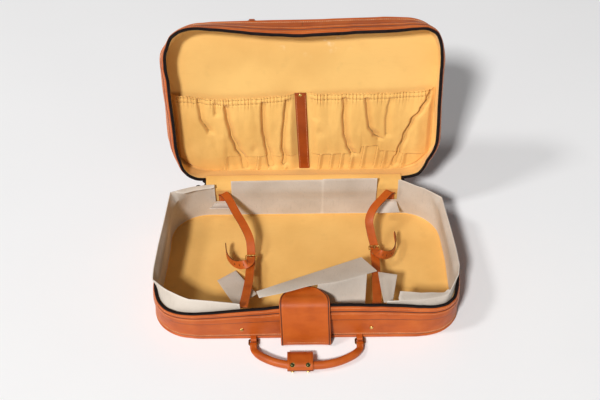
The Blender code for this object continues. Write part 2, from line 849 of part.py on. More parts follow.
def build_handle(prefix, pivot, lift, carrier, chape_carrier):
    """A handle drawn reaching forward from its pivot, with its rings and the case's loops."""
    y = pivot.y
    z = pivot.z
    bar = RING_WIRE_RADIUS + LOOP_CLEARANCE + CHAPE_THICKNESS / 2
    curl = RING_WIRE_RADIUS + LOOP_CLEARANCE + HANDLE_END_THICKNESS / 2
    outer_bar = y - RING_LENGTH
    for side, label in ((-1, "left"), (1, "right")):
        x = side * HANDLE_END_X
        ring = closed_tube(ring_path(x, y, outer_bar, z), RING_WIRE_RADIUS, 6, Vector((0.0, 0.0, 1.0)))
        add_piece(f"{prefix}_ring_{label}", ring, METAL, carrier)
        left = x - CHAPE_WIDTH / 2
        right = x + CHAPE_WIDTH / 2
        if prefix == "base":
            wall = -HALF_DEPTH + WALL_STEP_BACK - 2 * GAP
            path = loop_path(wall, y, z, bar, -HALF_DEPTH - GAP, 1)
        else:
            top = RIM_HEIGHT + LID_HEIGHT + GAP
            turn = arc_points(y, z, bar, -math.pi / 2, math.pi / 2, 6)
            path = [(y + bar, top)] + turn + [(y - bar, top)]
        chape = strap_profile(path, CHAPE_THICKNESS, left, right)
        add_piece(f"{prefix}_chape_{label}", chape, LEATHER_DARK, chape_carrier)
    right_half = []
    for across, reach, rise in HANDLE_ROUTE_SHARES:
        above = curl + (HANDLE_LIFT - curl) * rise
        right_half.append(Vector((across * HANDLE_END_X, y - reach * HANDLE_REACH, z + lift * above)))
    tube = [Vector((-point.x, point.y, point.z)) for point in right_half] + right_half[::-1]
    route = smooth_path(tube, CURVE_STEPS)
    turn = arc_points(0.0, 0.0, curl, 0.0, math.pi, 5)
    hook = [Vector((HANDLE_END_X, outer_bar - dy, z + lift * dz)) for dy, dz in turn]
    hook.append(Vector((HANDLE_END_X, outer_bar - curl, z - lift * curl)))
    tail = [Vector((-point.x, point.y, point.z)) for point in hook[::-1]]
    path = tail + route + hook
    across = []
    count = len(path)
    for number, point in enumerate(path):
        before = path[max(number - 1, 0)]
        after = path[min(number + 1, count - 1)]
        flat = Vector((after.x - before.x, after.y - before.y, 0.0))
        if number < len(tail):
            across.append(Vector((1.0, 0.0, 0.0)))
        elif number >= count - len(hook):
            across.append(Vector((-1.0, 0.0, 0.0)))
        else:
            across.append(Vector((-flat.y, flat.x, 0.0)))

    def outline(number):
        inside = min(number - len(tail), count - len(hook) - 1 - number)
        share = max(0.0, min(1.0, inside / HANDLE_TAPER_STEPS))
        half_width = HANDLE_END_WIDTH / 2 + (HANDLE_TUBE_RADIUS - HANDLE_END_WIDTH / 2) * share
        half_thick = HANDLE_END_THICKNESS / 2 + (HANDLE_TUBE_RADIUS - HANDLE_END_THICKNESS / 2) * share
        points = []
        for step in range(8):
            angle = 2 * math.pi * (step + 1 / 2) / 8
            points.append((half_width * math.cos(angle), half_thick * math.sin(angle)))
        return points

    add_piece(prefix + "_handle", carried(path, across, outline), LEATHER, carrier)


def wrap_point(tube_y, tube_z, radius, angle):
    return (tube_y - radius * math.sin(angle), tube_z + radius * math.cos(angle))


def build_wrap(pivot, carrier):
    tube_y = pivot.y - HANDLE_REACH
    tube_z = pivot.z + HANDLE_LIFT
    inner = HANDLE_TUBE_RADIUS + WRAP_CLEARANCE
    middle = inner + WRAP_THICKNESS / 2
    outer = inner + WRAP_THICKNESS
    fold_y = tube_y + WRAP_REAR_REACH
    fold_z = tube_z + WRAP_FOLD_RISE
    below = WRAP_THICKNESS / 2 + GAP / 2
    lower = [Vector((fold_y, fold_z - below, 0.0))]
    for back, rise in WRAP_LOWER_SHARES:
        lower.append(Vector((fold_y - WRAP_REAR_REACH * back, tube_z + middle * rise, 0.0)))
    path = [(point.x, point.y) for point in smooth_path(lower, FOLD_STEPS)]
    path += arc_points(tube_y, tube_z, middle, math.pi, WRAP_LOWER_END_ANGLE, 4)
    wrap = strap_profile(path, WRAP_THICKNESS, WRAP_LEFT_X, WRAP_RIGHT_X)
    add_piece("grip_wrap", wrap, LEATHER, carrier)
    hinge = carrier_at("grip_wrap_axis", (0.0, fold_y, fold_z), carrier)
    upper = [Vector((fold_y, fold_z + below, 0.0))]
    for back, rise in WRAP_UPPER_SHARES:
        upper.append(Vector((fold_y - WRAP_REAR_REACH * back, tube_z + middle * rise, 0.0)))
    path = [(point.x, point.y) for point in smooth_path(upper, FOLD_STEPS)]
    path += arc_points(tube_y, tube_z, middle, 0.0, WRAP_UPPER_END_ANGLE, 6)
    flap = strap_profile(path, WRAP_THICKNESS, WRAP_LEFT_X, WRAP_RIGHT_X)
    add_piece("grip_wrap_flap", flap, LEATHER, hinge)
    for x, label in ((WRAP_LEFT_X + SNAP_INSET, "left"), (WRAP_RIGHT_X - SNAP_INSET, "right")):
        y, z = wrap_point(tube_y, tube_z, outer + GAP, SNAP_CAP_ANGLE)
        up = (0.0, -math.sin(SNAP_CAP_ANGLE), math.cos(SNAP_CAP_ANGLE))
        cap = disc((x, y, z), up, SNAP_CAP_RADIUS, SNAP_THICKNESS, BUTTON_SIDES)
        add_piece("snap_cap_" + label, cap, SNAP_METAL, hinge)
        y, z = wrap_point(tube_y, tube_z, outer + GAP, SNAP_STUD_ANGLE)
        up = (0.0, -math.sin(SNAP_STUD_ANGLE), math.cos(SNAP_STUD_ANGLE))
        stud = disc((x, y, z), up, SNAP_STUD_RADIUS, SNAP_THICKNESS, BUTTON_SIDES)
        add_piece("snap_stud_" + label, stud, METAL, carrier)


def cut_box(piece, low, high):
    """Cuts a box out of a piece."""
    verts, faces = box_shape(low, high)
    mesh = bpy.data.meshes.new(piece.name + "_cut")
    mesh.from_pydata(verts, [], faces)
    build = bmesh.new()
    build.from_mesh(mesh)
    bmesh.ops.recalc_face_normals(build, faces=build.faces)
    build.to_mesh(mesh)
    build.free()
    cutter = bpy.data.objects.new(piece.name + "_cutter", mesh)
    bpy.context.scene.collection.objects.link(cutter)
    cutter.hide_render = True
    cutter.display_type = "WIRE"
    cut = piece.modifiers.new("slot", "BOOLEAN")
    cut.operation = "DIFFERENCE"
    cut.object = cutter


def ribbon(path, across):
    half_width = STRAP_WIDTH / 2
    half = STRAP_THICKNESS / 2
    corners = [(-half_width, -half), (half_width, -half), (half_width, half), (-half_width, half)]
    return carried(path, across, lambda number: corners)


def strap_anchor(base, x):
    """Where a strap lies against the rear lining before it leaves it."""
    points = []
    for share in STRAP_ANCHOR_HEIGHTS_SHARES:
        height = share * BASE_HEIGHT
        inside = WALL_THICKNESS + GAP + LINING_THICKNESS + GAP + STRAP_THICKNESS / 2
        points.append(Vector((x, HALF_DEPTH + base.wall_out(height) - inside, height)))
    return points


def build_inner_strap(base, label, side, buckle_shares, front_shares, rear_shares, tail_shares):
    """A buckle with its strap from the front wall, and the rear strap that runs through it."""
    x, y, z = case_points((buckle_shares,))[0]
    turn = BUCKLE_WIRE_RADIUS + LOOP_CLEARANCE + STRAP_THICKNESS / 2
    width = Vector((1.0, 0.0, 0.0))
    route = case_points(front_shares) + [Vector((x, y - STRAP_FOLD_BACK, z + turn))]
    path = smooth_path(route, STRAP_STEPS)
    for dy, dz in arc_points(0.0, 0.0, turn, 0.0, math.pi, 6):
        path.append(Vector((x, y - dy, z + dz)))
    path.append(Vector((x, y - STRAP_FOLD_BACK, z - turn)))
    strap = add_piece("buckle_strap_" + label, ribbon(path, [width] * len(path)), LEATHER_DARK)
    slot = TONGUE_SLOT_WIDTH / 2
    reach = turn + STRAP_THICKNESS
    low = (x - slot, y - reach, z - reach)
    cut_box(strap, low, (x + slot, y + reach, z + reach))

    far = y + BUCKLE_LENGTH
    corners = (
        (x + BUCKLE_HALF_WIDTH, far, 1, 1),
        (x - BUCKLE_HALF_WIDTH, far, -1, 1),
        (x - BUCKLE_HALF_WIDTH, y, -1, -1),
        (x + BUCKLE_HALF_WIDTH, y, 1, -1),
    )
    outline = rounded_corners(corners, BUCKLE_CORNER, z)
    frame = closed_tube(outline, BUCKLE_WIRE_RADIUS, 6, Vector((0.0, 0.0, 1.0)))
    add_piece("buckle_" + label, frame, METAL)

    axis = carrier_at("buckle_tongue_axis_" + label, (x, y, z))
    curl = BUCKLE_WIRE_RADIUS + TONGUE_CURL_CLEARANCE + TONGUE_RADIUS
    wire = [Vector((x, y + curl * math.sin(a), z - curl * math.cos(a))) for a in curl_angles()]
    tip_z = z + BUCKLE_WIRE_RADIUS + LOOP_CLEARANCE + TONGUE_RADIUS
    wire.append(Vector((x, y + BUCKLE_LENGTH / 2, (wire[-1].z + tip_z) / 2)))
    wire.append(Vector((x, far + BUCKLE_WIRE_RADIUS, tip_z)))

    def round_wire(number):
        steps = [math.pi / 3 * step for step in range(6)]
        return [(TONGUE_RADIUS * math.cos(a), TONGUE_RADIUS * math.sin(a)) for a in steps]

    tongue = carried(wire, [width] * len(wire), round_wire)
    add_piece("buckle_tongue_" + label, tongue, METAL, axis)

    over = turn + STRAP_THICKNESS + STRAP_CLEARANCE
    under = BUCKLE_WIRE_RADIUS + STRAP_THICKNESS / 2 + STRAP_CLEARANCE
    lean = math.asin((over + under) / BUCKLE_LENGTH)
    drop = under * math.cos(lean)
    through = [
        Vector((x, far + STRAP_LEAD, z - drop)),
        Vector((x, far + under * math.sin(lean), z - drop)),
        Vector((x, far - under * math.sin(lean), z - drop)),
        Vector((x, y + over * math.sin(lean), z + over * math.cos(lean))),
        Vector((x, y - over * math.sin(lean) / 2, z + over)),
    ]
    anchor, leaving = strap_anchor(base, rear_shares[0][0] * CORNER_X)
    route = [leaving] + case_points(rear_shares) + through
    path = smooth_path(route + case_points(tail_shares), STRAP_STEPS)
    twists = [0.0] * len(route) + list(TAIL_TWIST_SHARES)
    angles = []
    for number in range(len(path)):
        first, part = divmod(number, STRAP_STEPS)
        share = twists[first]
        if part:
            share += (twists[first + 1] - share) * part / STRAP_STEPS
        angles.append(math.pi / 2 * share)
    path.insert(0, anchor)
    angles.insert(0, 0.0)
    across = []
    for number, angle in enumerate(angles):
        along = path[min(number + 1, len(path) - 1)] - path[max(number - 1, 0)]
        level = Vector((-along.y, along.x, 0.0)).normalized()
        across.append(level * math.cos(angle) - Vector((0.0, 0.0, side * math.sin(angle))))
    across[:2] = [width, width]
    strap = add_piece("rear_strap_" + label, ribbon(path, across), LEATHER_DARK)
    start = y - TONGUE_HOLE_BEFORE
    low = (x - slot, start, z - BUCKLE_LENGTH)
    cut_box(strap, low, (x + slot, start + TONGUE_HOLE_LENGTH, z + BUCKLE_LENGTH))


def curl_angles():
    """Angles of the wire's curl round the buckle's bar, from its end to where it leaves."""
    turn = TONGUE_CURL_END - TONGUE_CURL_START
    steps = range(TONGUE_CURL_STEPS + 1)
    return [TONGUE_CURL_START + turn * step / TONGUE_CURL_STEPS for step in steps]


def build_rivets(base):
    height = RIVET_HEIGHT_SHARE * BASE_HEIGHT
    out = base.wall_out(height) + GAP
    y = -HALF_DEPTH - out
    lean = (RIM_INSET - WALL_STEP_BACK) / (BASE_HEIGHT - WALL_FOOT)
    for side, label in ((-1, "left"), (1, "right")):
        place = (side * RIVET_X_SHARE * CORNER_X, y, height)
        head = disc(place, (0.0, -1.0, lean), RIVET_RADIUS, RIVET_THICKNESS, BUTTON_SIDES)
        add_piece("strap_rivet_" + label, head, METAL)


def build_sliders(base):
    half = SLIDER_LENGTH / CORNER_RADIUS / 2
    top = RIM_HEIGHT + SLIDER_ABOVE
    low = RIM_HEIGHT - SLIDER_BELOW
    inner = base.band_face(base.rim, BAND_THICKNESS) + SLIDER_CLEARANCE
    block = [(inner, low), (SLIDER_OUTER, low), (SLIDER_OUTER, top), (inner, top)]
    middle = math.pi / 2 * (1 - 1 / CORNER_STEPS)
    for side, label in ((-1, "left"), (1, "right")):
        stations = arc_stations(middle - half, middle + half, 3, side, False)
        corner = carrier_at("zip_corner_" + label, (side * CORNER_X, CORNER_Y, RIM_HEIGHT))
        add_piece("zip_slider_" + label, swept(stations, lambda n, s: block, False), ZIP, corner)
        station = arc_stations(middle, middle, 1, side, False)[0]
        out = SLIDER_OUTER - PULL_THICKNESS / 2
        hang = low - PULL_CLEARANCE
        place = Vector(station.at(out, hang - PULL_THICKNESS / 2))
        axis = carrier_at("zip_pull_axis_" + label, place, corner)
        normal = Vector((station.nx, station.ny, 0.0)) * (PULL_THICKNESS / 2)
        along = Vector((-station.ny, station.nx, 0.0)) * (PULL_WIDTH / 2)
        bottom = Vector((place.x, place.y, hang - PULL_LENGTH))
        head = Vector((place.x, place.y, hang))
        shape = box_shape((0, 0, 0), (1, 1, 1))[1]
        verts = []
        for end in (bottom, head):
            for thick in (-1, 1):
                for wide in (-1, 1):
                    verts.append(end + normal * thick + along * wide)
        add_piece("zip_pull_" + label, (verts, shape), METAL, axis)


def eased(share):
    share = max(0.0, min(1.0, share))
    return share * share * (3 - 2 * share)


def fold_wave(share, height_share, folds):
    """How far the cloth stands out between its creases, from 0 at a crease to 1."""
    nearest = min(abs(share - (top + drift * (1 - height_share))) for top, drift in folds)
    return 1 - math.exp(-((nearest / POCKET_CREASE_SHARE) ** 2))


def pocket_edge(y):
    """How far to the side a pocket reaches: it follows the lid's rounded corners."""
    straight = HALF_LENGTH - POCKET_SIDE_MARGIN
    beyond = max(0.0, y - CORNER_Y)
    radius = CORNER_RADIUS - POCKET_FOOT
    return min(straight, CORNER_X + math.sqrt(max(0.0, radius**2 - beyond**2)))


def build_pocket(label, side, folds, lid):
    """A gathered pocket: a sheet sewn down at its sides and foot, with its top edge standing off."""
    seat = FLOOR_TOP + GAP
    rear = HALF_DEPTH - POCKET_FOOT
    under_strap = POCKET_STRAP_WIDTH / 2
    fronts = []
    backs = []
    for v in POCKET_ROW_SHARES:
        y = rear - v * POCKET_HEIGHT
        inner = POCKET_STRAP_X + POCKET_STRAP_SLANT * (1 - v) + side * POCKET_INNER_GAP / 2
        outer = side * pocket_edge(y)
        width = abs(outer - inner)
        for column in range(POCKET_COLUMNS + 1):
            u = under_strap / width
            if column != 1:
                u = column / POCKET_COLUMNS
            near = min(u * width - under_strap, (1 - u) * width)
            tuck = min(1.0, v * POCKET_HEIGHT / POCKET_TUCK_HEIGHT)
            fold = fold_wave(u, v, folds) * math.sqrt(math.sin(math.pi * v) + POCKET_MOUTH_SHARE * v)
            stand = POCKET_STAND_OFF * math.sqrt(tuck) + POCKET_FOLD_DEPTH * fold
            rise = seat + stand * eased(near / POCKET_EDGE_RAMP)
            x = inner + (outer - inner) * u
            backs.append((x, y, lid.level(rise)))
            fronts.append((x, y, lid.level(rise + POCKET_CLOTH)))
    width = POCKET_COLUMNS + 1
    rows = len(POCKET_ROW_SHARES) - 1
    count = len(fronts)
    faces = []
    for row in range(rows):
        for column in range(POCKET_COLUMNS):
            a = row * width + column
            faces.append((a, a + 1, a + width + 1, a + width))
            faces.append((count + a, count + a + 1, count + a + width + 1, count + a + width))
    rim = list(range(width))
    rim += [row * width + width - 1 for row in range(1, rows + 1)]
    rim += [rows * width + column for column in range(width - 2, -1, -1)]
    rim += [row * width for row in range(rows - 1, 0, -1)]
    for number, a in enumerate(rim):
        b = rim[(number + 1) % len(rim)]
        faces.append((a, b, count + b, count + a))
    add_piece("pocket_" + label, (fronts + backs, faces), LINING, lid.carrier)


def build_lid_fittings(lid):
    build_pocket("left", -1, LEFT_FOLD_SHARES, lid)
    build_pocket("right", 1, RIGHT_FOLD_SHARES, lid)
    seat = FLOOR_TOP + 2 * GAP + POCKET_CLOTH
    top = seat + POCKET_STRAP_THICKNESS
    rear = HALF_DEPTH - POCKET_FOOT
    front = rear - POCKET_HEIGHT - POCKET_STRAP_OVERRUN
    half = POCKET_STRAP_WIDTH / 2
    foot_x = POCKET_STRAP_X + POCKET_STRAP_SLANT
    verts = []
    for rise in (seat, top):
        for x, y in ((POCKET_STRAP_X, front), (foot_x, rear)):
            verts.append((x - half, y, lid.level(rise)))
            verts.append((x + half, y, lid.level(rise)))
    faces = box_shape((0, 0, 0), (1, 1, 1))[1]
    add_piece("pocket_strap", (verts, faces), LEATHER_DARK, lid.carrier)
    place = (POCKET_STRAP_X, front + POCKET_RIVET_BELOW, lid.level(top + GAP))
    head = disc(place, (0.0, 0.0, -1.0), POCKET_RIVET_RADIUS, RIVET_THICKNESS, BUTTON_SIDES)
    add_piece("pocket_rivet", head, METAL, lid.carrier)


def main():
    clear_scene()
    base = Half("base", BASE_HEIGHT, BASE_BAND_WIDTH, None)
    base.build()
    lid_carrier = carrier_at("lid_hinge_axis", (0.0, HALF_DEPTH, RIM_HEIGHT), None, -LID_OPEN_ANGLE)
    lid = Half("lid", LID_HEIGHT, LID_BAND_WIDTH, lid_carrier)
    lid.build()
    build_card_collars(base)
    build_front_card()
    tip_height = RIM_HEIGHT + FLAP_TIP_THICKNESS / 2 + FLAP_TIP_CLEARANCE
    tip = carrier_at("flap_bend_axis", (0.0, -HALF_DEPTH - FLAP_TOP_OUT, tip_height))
    build_flap(tip)
    base_pivot = Vector((0.0, -HALF_DEPTH - BASE_PIVOT_OUT, BASE_PIVOT_HEIGHT))
    base_turn = carrier_at("base_handle_axis", base_pivot)
    build_handle("base", base_pivot, 1, base_turn, None)
    build_wrap(base_pivot, base_turn)
    lid_top = RIM_HEIGHT + LID_HEIGHT
    lid_pivot = Vector((0.0, -HALF_DEPTH + LID_PIVOT_IN, lid_top + LID_PIVOT_ABOVE))
    lid_turn = carrier_at("lid_handle_axis", lid_pivot, lid_carrier, -LID_HANDLE_BACK_ANGLE)
    build_handle("lid", lid_pivot, -1, lid_turn, lid_carrier)
    build_inner_strap(
        base,
        "left",
        -1,
        LEFT_BUCKLE_SHARES,
        LEFT_FRONT_ROUTE_SHARES,
        LEFT_REAR_ROUTE_SHARES,
        LEFT_TAIL_ROUTE_SHARES,
    )
    build_inner_strap(
        base,
        "right",
        1,
        RIGHT_BUCKLE_SHARES,
        RIGHT_FRONT_ROUTE_SHARES,
        RIGHT_REAR_ROUTE_SHARES,
        RIGHT_TAIL_ROUTE_SHARES,
    )
    build_rivets(base)
    build_sliders(base)
    build_lid_fittings(lid)


main()
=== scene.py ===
"""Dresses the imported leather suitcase: leather shells, zip, yellow lining, greyboard, straps, handles and pockets."""

import logging
import math
from collections.abc import Callable, Sequence
from dataclasses import dataclass
from enum import Enum

import bmesh
import bpy
from mathutils import Matrix, Vector, noise


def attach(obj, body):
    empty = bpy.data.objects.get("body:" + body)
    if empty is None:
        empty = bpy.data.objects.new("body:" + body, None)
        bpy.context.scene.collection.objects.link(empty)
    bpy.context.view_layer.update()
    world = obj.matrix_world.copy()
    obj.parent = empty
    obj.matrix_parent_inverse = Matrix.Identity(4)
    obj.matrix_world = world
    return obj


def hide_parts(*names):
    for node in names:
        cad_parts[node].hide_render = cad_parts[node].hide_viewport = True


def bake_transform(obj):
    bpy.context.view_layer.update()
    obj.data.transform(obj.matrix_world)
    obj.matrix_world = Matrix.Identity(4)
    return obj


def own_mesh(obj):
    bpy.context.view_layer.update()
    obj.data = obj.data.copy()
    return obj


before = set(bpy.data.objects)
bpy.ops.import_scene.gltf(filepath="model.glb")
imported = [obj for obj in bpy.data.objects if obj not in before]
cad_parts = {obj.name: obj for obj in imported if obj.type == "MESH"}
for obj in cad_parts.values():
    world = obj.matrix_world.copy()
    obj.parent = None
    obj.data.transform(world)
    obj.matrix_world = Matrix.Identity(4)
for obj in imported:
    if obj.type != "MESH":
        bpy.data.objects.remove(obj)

log = logging.getLogger("suitcase")

Socket = bpy.types.NodeSocket
Pair = tuple[float, float]
Triple = tuple[float, float, float]
Keys = tuple[Pair, ...]
Rows = list[list[Vector]]

MM = 0.001
GAP = 0.3 * MM
TURN = 2 * math.pi
UP = Vector((0.0, 0.0, 1.0))
ACROSS = Vector((1.0, 0.0, 0.0))
SIDES = {-1: "left", 1: "right"}


# --- small sums


def smooth(share: float) -> float:
    """Eases a share from 0 to 1."""
    share = max(0.0, min(1.0, share))
    return share * share * (3 - 2 * share)


def bell(distance: float, width: float) -> float:
    """A soft bump, 1 at no distance."""
    return math.exp(-((distance / width) ** 2))


def spread(low: float, high: float, count: int) -> list[float]:
    """Values from low to high in a count of even steps."""
    return [low + (high - low) * step / count for step in range(count + 1)]


def lined(place: float, keys: Sequence[Pair], ease: Callable[[float], float] = float) -> float:
    """Reads a value from keys.

    Args:
        place: Where to read.
        keys: Pairs of (place, value) in rising order of place.
        ease: Bends the share between two keys, which is straight without it.

    Returns:
        The value there.
    """
    if place <= keys[0][0]:
        return keys[0][1]
    for (first, low), (second, high) in zip(keys, keys[1:]):
        if place <= second:
            return low + (high - low) * ease((place - first) / (second - first))
    return keys[-1][1]


def keyed(place: float, keys: Sequence[Pair]) -> float:
    """Reads a value from keys, eased between them."""
    return lined(place, keys, smooth)


def arc(start: float, sweep: float, steps: int) -> list[Pair]:
    """The (cosine, sine) of angles in even steps, both ends included."""
    angles = [start + sweep * step / steps for step in range(steps + 1)]
    return [(math.cos(angle), math.sin(angle)) for angle in angles]


def ring_of(sides: int, radius: float) -> list[Pair]:
    """A round outline."""
    return [(radius * c, radius * s) for c, s in arc(0.0, TURN, sides)[:-1]]


def rounded_bar(half_width: float, half_thick: float) -> list[Pair]:
    """A strap's outline of (across, up) points with round edges.

    Args:
        half_width: Half its width.
        half_thick: Half its thickness.

    Returns:
        The outline's points.
    """
    flat = half_width - half_thick
    ends = ((flat, -math.pi / 2), (-flat, math.pi / 2))
    return [(middle + half_thick * c, half_thick * s) for middle, start in ends for c, s in arc(start, math.pi, 6)]


def heading(path: Sequence[Vector], number: int) -> Vector:
    """From the point before one of a path's points to the point after it."""
    return path[min(number + 1, len(path) - 1)] - path[max(number - 1, 0)]


def lengths(points: Sequence[Vector]) -> list[float]:
    """The distance along a line of points to each of them.

    Args:
        points: The line.

    Returns:
        One distance for each point.
    """
    runs = [0.0]
    for first, second in zip(points, points[1:]):
        runs.append(runs[-1] + (second - first).length)
    return runs


def curve_through(points: Sequence[Vector], steps: int) -> list[Vector]:
    """A smooth curve through the points.

    Args:
        points: What it passes through.
        steps: Steps from each point to the next.

    Returns:
        The points along the curve.
    """
    padded = [points[0] * 2 - points[1], *points, points[-1] * 2 - points[-2]]
    found = []
    for number in range(len(points) - 1):
        a, b, c, d = padded[number : number + 4]
        for step in range(steps):
            t = step / steps
            cubic = (b * 3 - a - c * 3 + d) * t**3
            square = (a * 2 - b * 5 + c * 4 - d) * t**2
            found.append((b * 2 + (c - a) * t + square + cubic) / 2)
    found.append(points[-1].copy())
    return found


def evenly(points: Sequence[Vector], pitch: float) -> list[Vector]:
    """Points spaced evenly along a line of points.

    Args:
        points: The line.
        pitch: About how far apart they come.

    Returns:
        The evenly spaced points, both ends included.
    """
    runs = lengths(points)
    found = []
    number = 0
    for run in spread(0.0, runs[-1], max(1, round(runs[-1] / pitch))):
        while number < len(points) - 2 and runs[number + 1] < run:
            number += 1
        span = max(runs[number + 1] - runs[number], 1e-9)
        found.append(points[number].lerp(points[number + 1], (run - runs[number]) / span))
    return found


def carried(
    path: Sequence[Vector],
    across: Sequence[Vector],
    outline: Callable[[int], Sequence[Pair]],
    closed: bool = False,
) -> Rows:
    """Rows of an outline carried along a path.

    Args:
        path: The points that it follows.
        across: The sideways direction at each point.
        outline: (across, up) points for each point's number.
        closed: Whether the path is a loop.

    Returns:
        One row of points for each point of the path.
    """
    rows = []
    for number, point in enumerate(path):
        along = path[(number + 1) % len(path)] - path[number - 1] if closed else heading(path, number)
        along.normalize()
        side = (across[number] - along * across[number].dot(along)).normalized()
        up = side.cross(along)
        rows.append([point + side * a + up * b for a, b in outline(number)])
    return rows


# --- finishes


class Nodes:
    """Adds nodes to a tree and links them."""

    def __init__(self, tree: bpy.types.NodeTree) -> None:
        """Takes the tree that the nodes go into."""
        self.tree = tree

    def feed(self, socket: Socket, value: Socket | float | tuple) -> None:
        """Links a socket to another, or sets its value.

        Args:
            socket: What is set.
            value: Another socket, or a plain value.
        """
        if isinstance(value, Socket):
            self.tree.links.new(value, socket)
        else:
            socket.default_value = value

    def node(self, kind: str, inputs: dict, output: str, **settings: object) -> Socket:
        """Adds a node.

        Args:
            kind: Its kind, as Blender names it after "ShaderNode".
            inputs: What each of its sockets is fed, by name or number.
            output: The socket that is handed on.
            **settings: Its properties, which are set before its sockets.

        Returns:
            The socket that is handed on.
        """
        made = self.tree.nodes.new("ShaderNode" + kind)
        for key, value in settings.items():
            setattr(made, key, value)
        for key, value in inputs.items():
            self.feed(made.inputs[key], value)
        return made.outputs[output]

    def combine(self, operation: str, first: Socket | float, second: Socket | float, **settings: object) -> Socket:
        """One sum of two values."""
        return self.node("Math", {0: first, 1: second}, "Value", operation=operation, **settings)

    def between(self, value: Socket, low: float, high: float, first: float = 0.0, second: float = 1.0) -> Socket:
        """Maps a value from low..high to first..second."""
        ends = {"From Min": low, "From Max": high, "To Min": first, "To Max": second}
        return self.node("MapRange", {"Value": value, **ends}, "Result")


class Recipe(Nodes):
    """Lays out the nodes of one finish on the piece's own coordinates."""

    def __init__(self, name: str) -> None:
        """Starts an empty finish with the material's name.

        Args:
            name: The material's name.
        """
        self.material = bpy.data.materials.new(name)
        self.material.use_nodes = True
        super().__init__(self.material.node_tree)
        self.shader = self.tree.nodes["Principled BSDF"]
        self.place = self.node("TexCoord", {}, "Object")

    def cloud(self, scale: float, detail: float = 3.0, stretch: Triple | None = None) -> Socket:
        """Soft noise, with its features about 1/scale metres wide.

        Args:
            scale: Features for each metre.
            detail: How many finer layers it has.
            stretch: Scales the place along each axis.

        Returns:
            Its value, from 0 to 1.
        """
        place = self.place
        if stretch:
            place = self.node("Mapping", {"Vector": place, "Scale": stretch}, "Vector")
        return self.node("TexNoise", {"Vector": place, "Scale": scale, "Detail": detail}, "Fac")

    def specks(self, cloud: tuple, low: float, high: float, share: float) -> Socket:
        """The part of a cloud's values above low, up to a share."""
        return self.between(self.cloud(*cloud), low, high, 0.0, share)

    def grain(self, scale: float) -> Socket:
        """Leather pores: rounded cells with creases between them.

        Args:
            scale: Cells for each metre.

        Returns:
            Its height, from 0 in a crease to 1.
        """
        shift = self.node("TexNoise", {"Vector": self.place, "Scale": scale * 0.6}, "Color")
        small = self.node("VectorMath", {0: shift, "Scale": 0.5 / scale}, "Vector", operation="SCALE")
        bent = self.node("VectorMath", {0: self.place, 1: small}, "Vector", operation="ADD")
        cells = self.node("TexVoronoi", {"Vector": bent, "Scale": scale}, "Distance", feature="DISTANCE_TO_EDGE")
        return self.between(cells, 0.0, 0.12)

    def weave(self, pitch: float, directions: Sequence[str]) -> Socket:
        """Threads side by side along each of the directions, crossed with each other.

        Args:
            pitch: Distance of the threads.
            directions: The wave's directions.

        Returns:
            Its height.
        """
        woven: Socket | float = 1.0
        for direction in directions:
            wave = {"Vector": self.place, "Scale": TURN / (20 * pitch), "Distortion": 1.2, "Detail Scale": 3.0}
            woven = self.combine("MULTIPLY", self.node("TexWave", wave, "Fac", bands_direction=direction), woven)
        return woven

    def tones(self, value: Socket, *stops: tuple[float, Triple]) -> Socket:
        """Turns a value into colour through stops of (place, colour).

        Args:
            value: What the colour goes by.
            *stops: The stops.

        Returns:
            The colour.
        """
        colour = self.node("ValToRGB", {"Fac": value}, "Color")
        ramp = colour.node.color_ramp
        while len(ramp.elements) < len(stops):
            ramp.elements.new(0.5)
        for element, (place, tone) in zip(ramp.elements, stops):
            element.position = place
            element.color = (*tone, 1.0)
        return colour

    def over(self, under: Socket, share: Socket, top: Triple, dim: float = 1.0) -> Socket:
        """A tone, dimmed, laid over a colour where the share is high."""
        tone = (*(c * dim for c in top), 1.0)
        return self.node("Mix", {"Factor": share, "A": under, "B": tone}, "Result", data_type="RGBA")

    def ridge_tone_and_crease_shade(self, low: float, high: float, share: float) -> Socket:
        """Where the surface bends out between low and high, or in if high is the lower, up to a share: paler ridges,
        and painted shade in creases and hollows.
        """
        return self.between(self.node("NewGeometry", {}, "Pointiness"), low, high, 0.0, share)

    def relief(self, *layers: tuple[Socket, float]) -> None:
        """Adds surface relief from layers of (height, depth in metres)."""
        below: dict[str, Socket] = {}
        for height, depth in layers:
            bump = {"Strength": 1.0, "Distance": depth, "Height": height}
            below = {"Normal": self.node("Bump", {**bump, **below}, "Normal")}
        self.surface(below)

    def surface(self, values: dict[str, Socket | float]) -> None:
        """Sets or links the shader's sockets."""
        for key, value in values.items():
            self.feed(self.shader.inputs[key], value)

    def rough(self, scale: float, detail: float, low: float, high: float) -> Socket:
        """A roughness that varies from low to high in soft patches."""
        return self.between(self.cloud(scale, detail), 0.3, 0.7, low, high)


@dataclass(frozen=True)
class Leather:
    """Smooth vegetable-tanned leather with a fine grain."""

    name: str
    dark: Triple
    body: Triple
    light: Triple
    gloss: Pair = (0.34, 0.5)
    pores: float = 1300.0

    def lay(self, made: Recipe) -> None:
        """Lays out the leather's nodes.

        Args:
            made: The finish that they go into.
        """
        patches = made.combine("MULTIPLY", made.cloud(22.0, 5.0), 0.7)
        streaks = made.combine("MULTIPLY", made.cloud(90.0, 3.0, (0.35, 1.0, 1.0)), 0.3)
        mixed = made.combine("ADD", patches, streaks)
        colour = made.tones(mixed, (0.26, self.dark), (0.5, self.body), (0.78, self.light))
        colour = made.over(colour, made.ridge_tone_and_crease_shade(0.53, 0.6, 0.45), self.light)
        # Painted shade: darker where the leather bends in, in creases and hollows.
        colour = made.over(colour, made.ridge_tone_and_crease_shade(0.47, 0.42, 0.6), self.dark, 0.45)
        made.surface({"Base Color": colour, "Roughness": made.rough(160.0, 4.0, *self.gloss)})
        made.surface({"Specular IOR Level": 0.32})
        fine = (made.grain(self.pores), 0.00005)
        made.relief((made.cloud(38.0), 0.00022), (made.cloud(700.0, 2.0), 0.00005), fine)


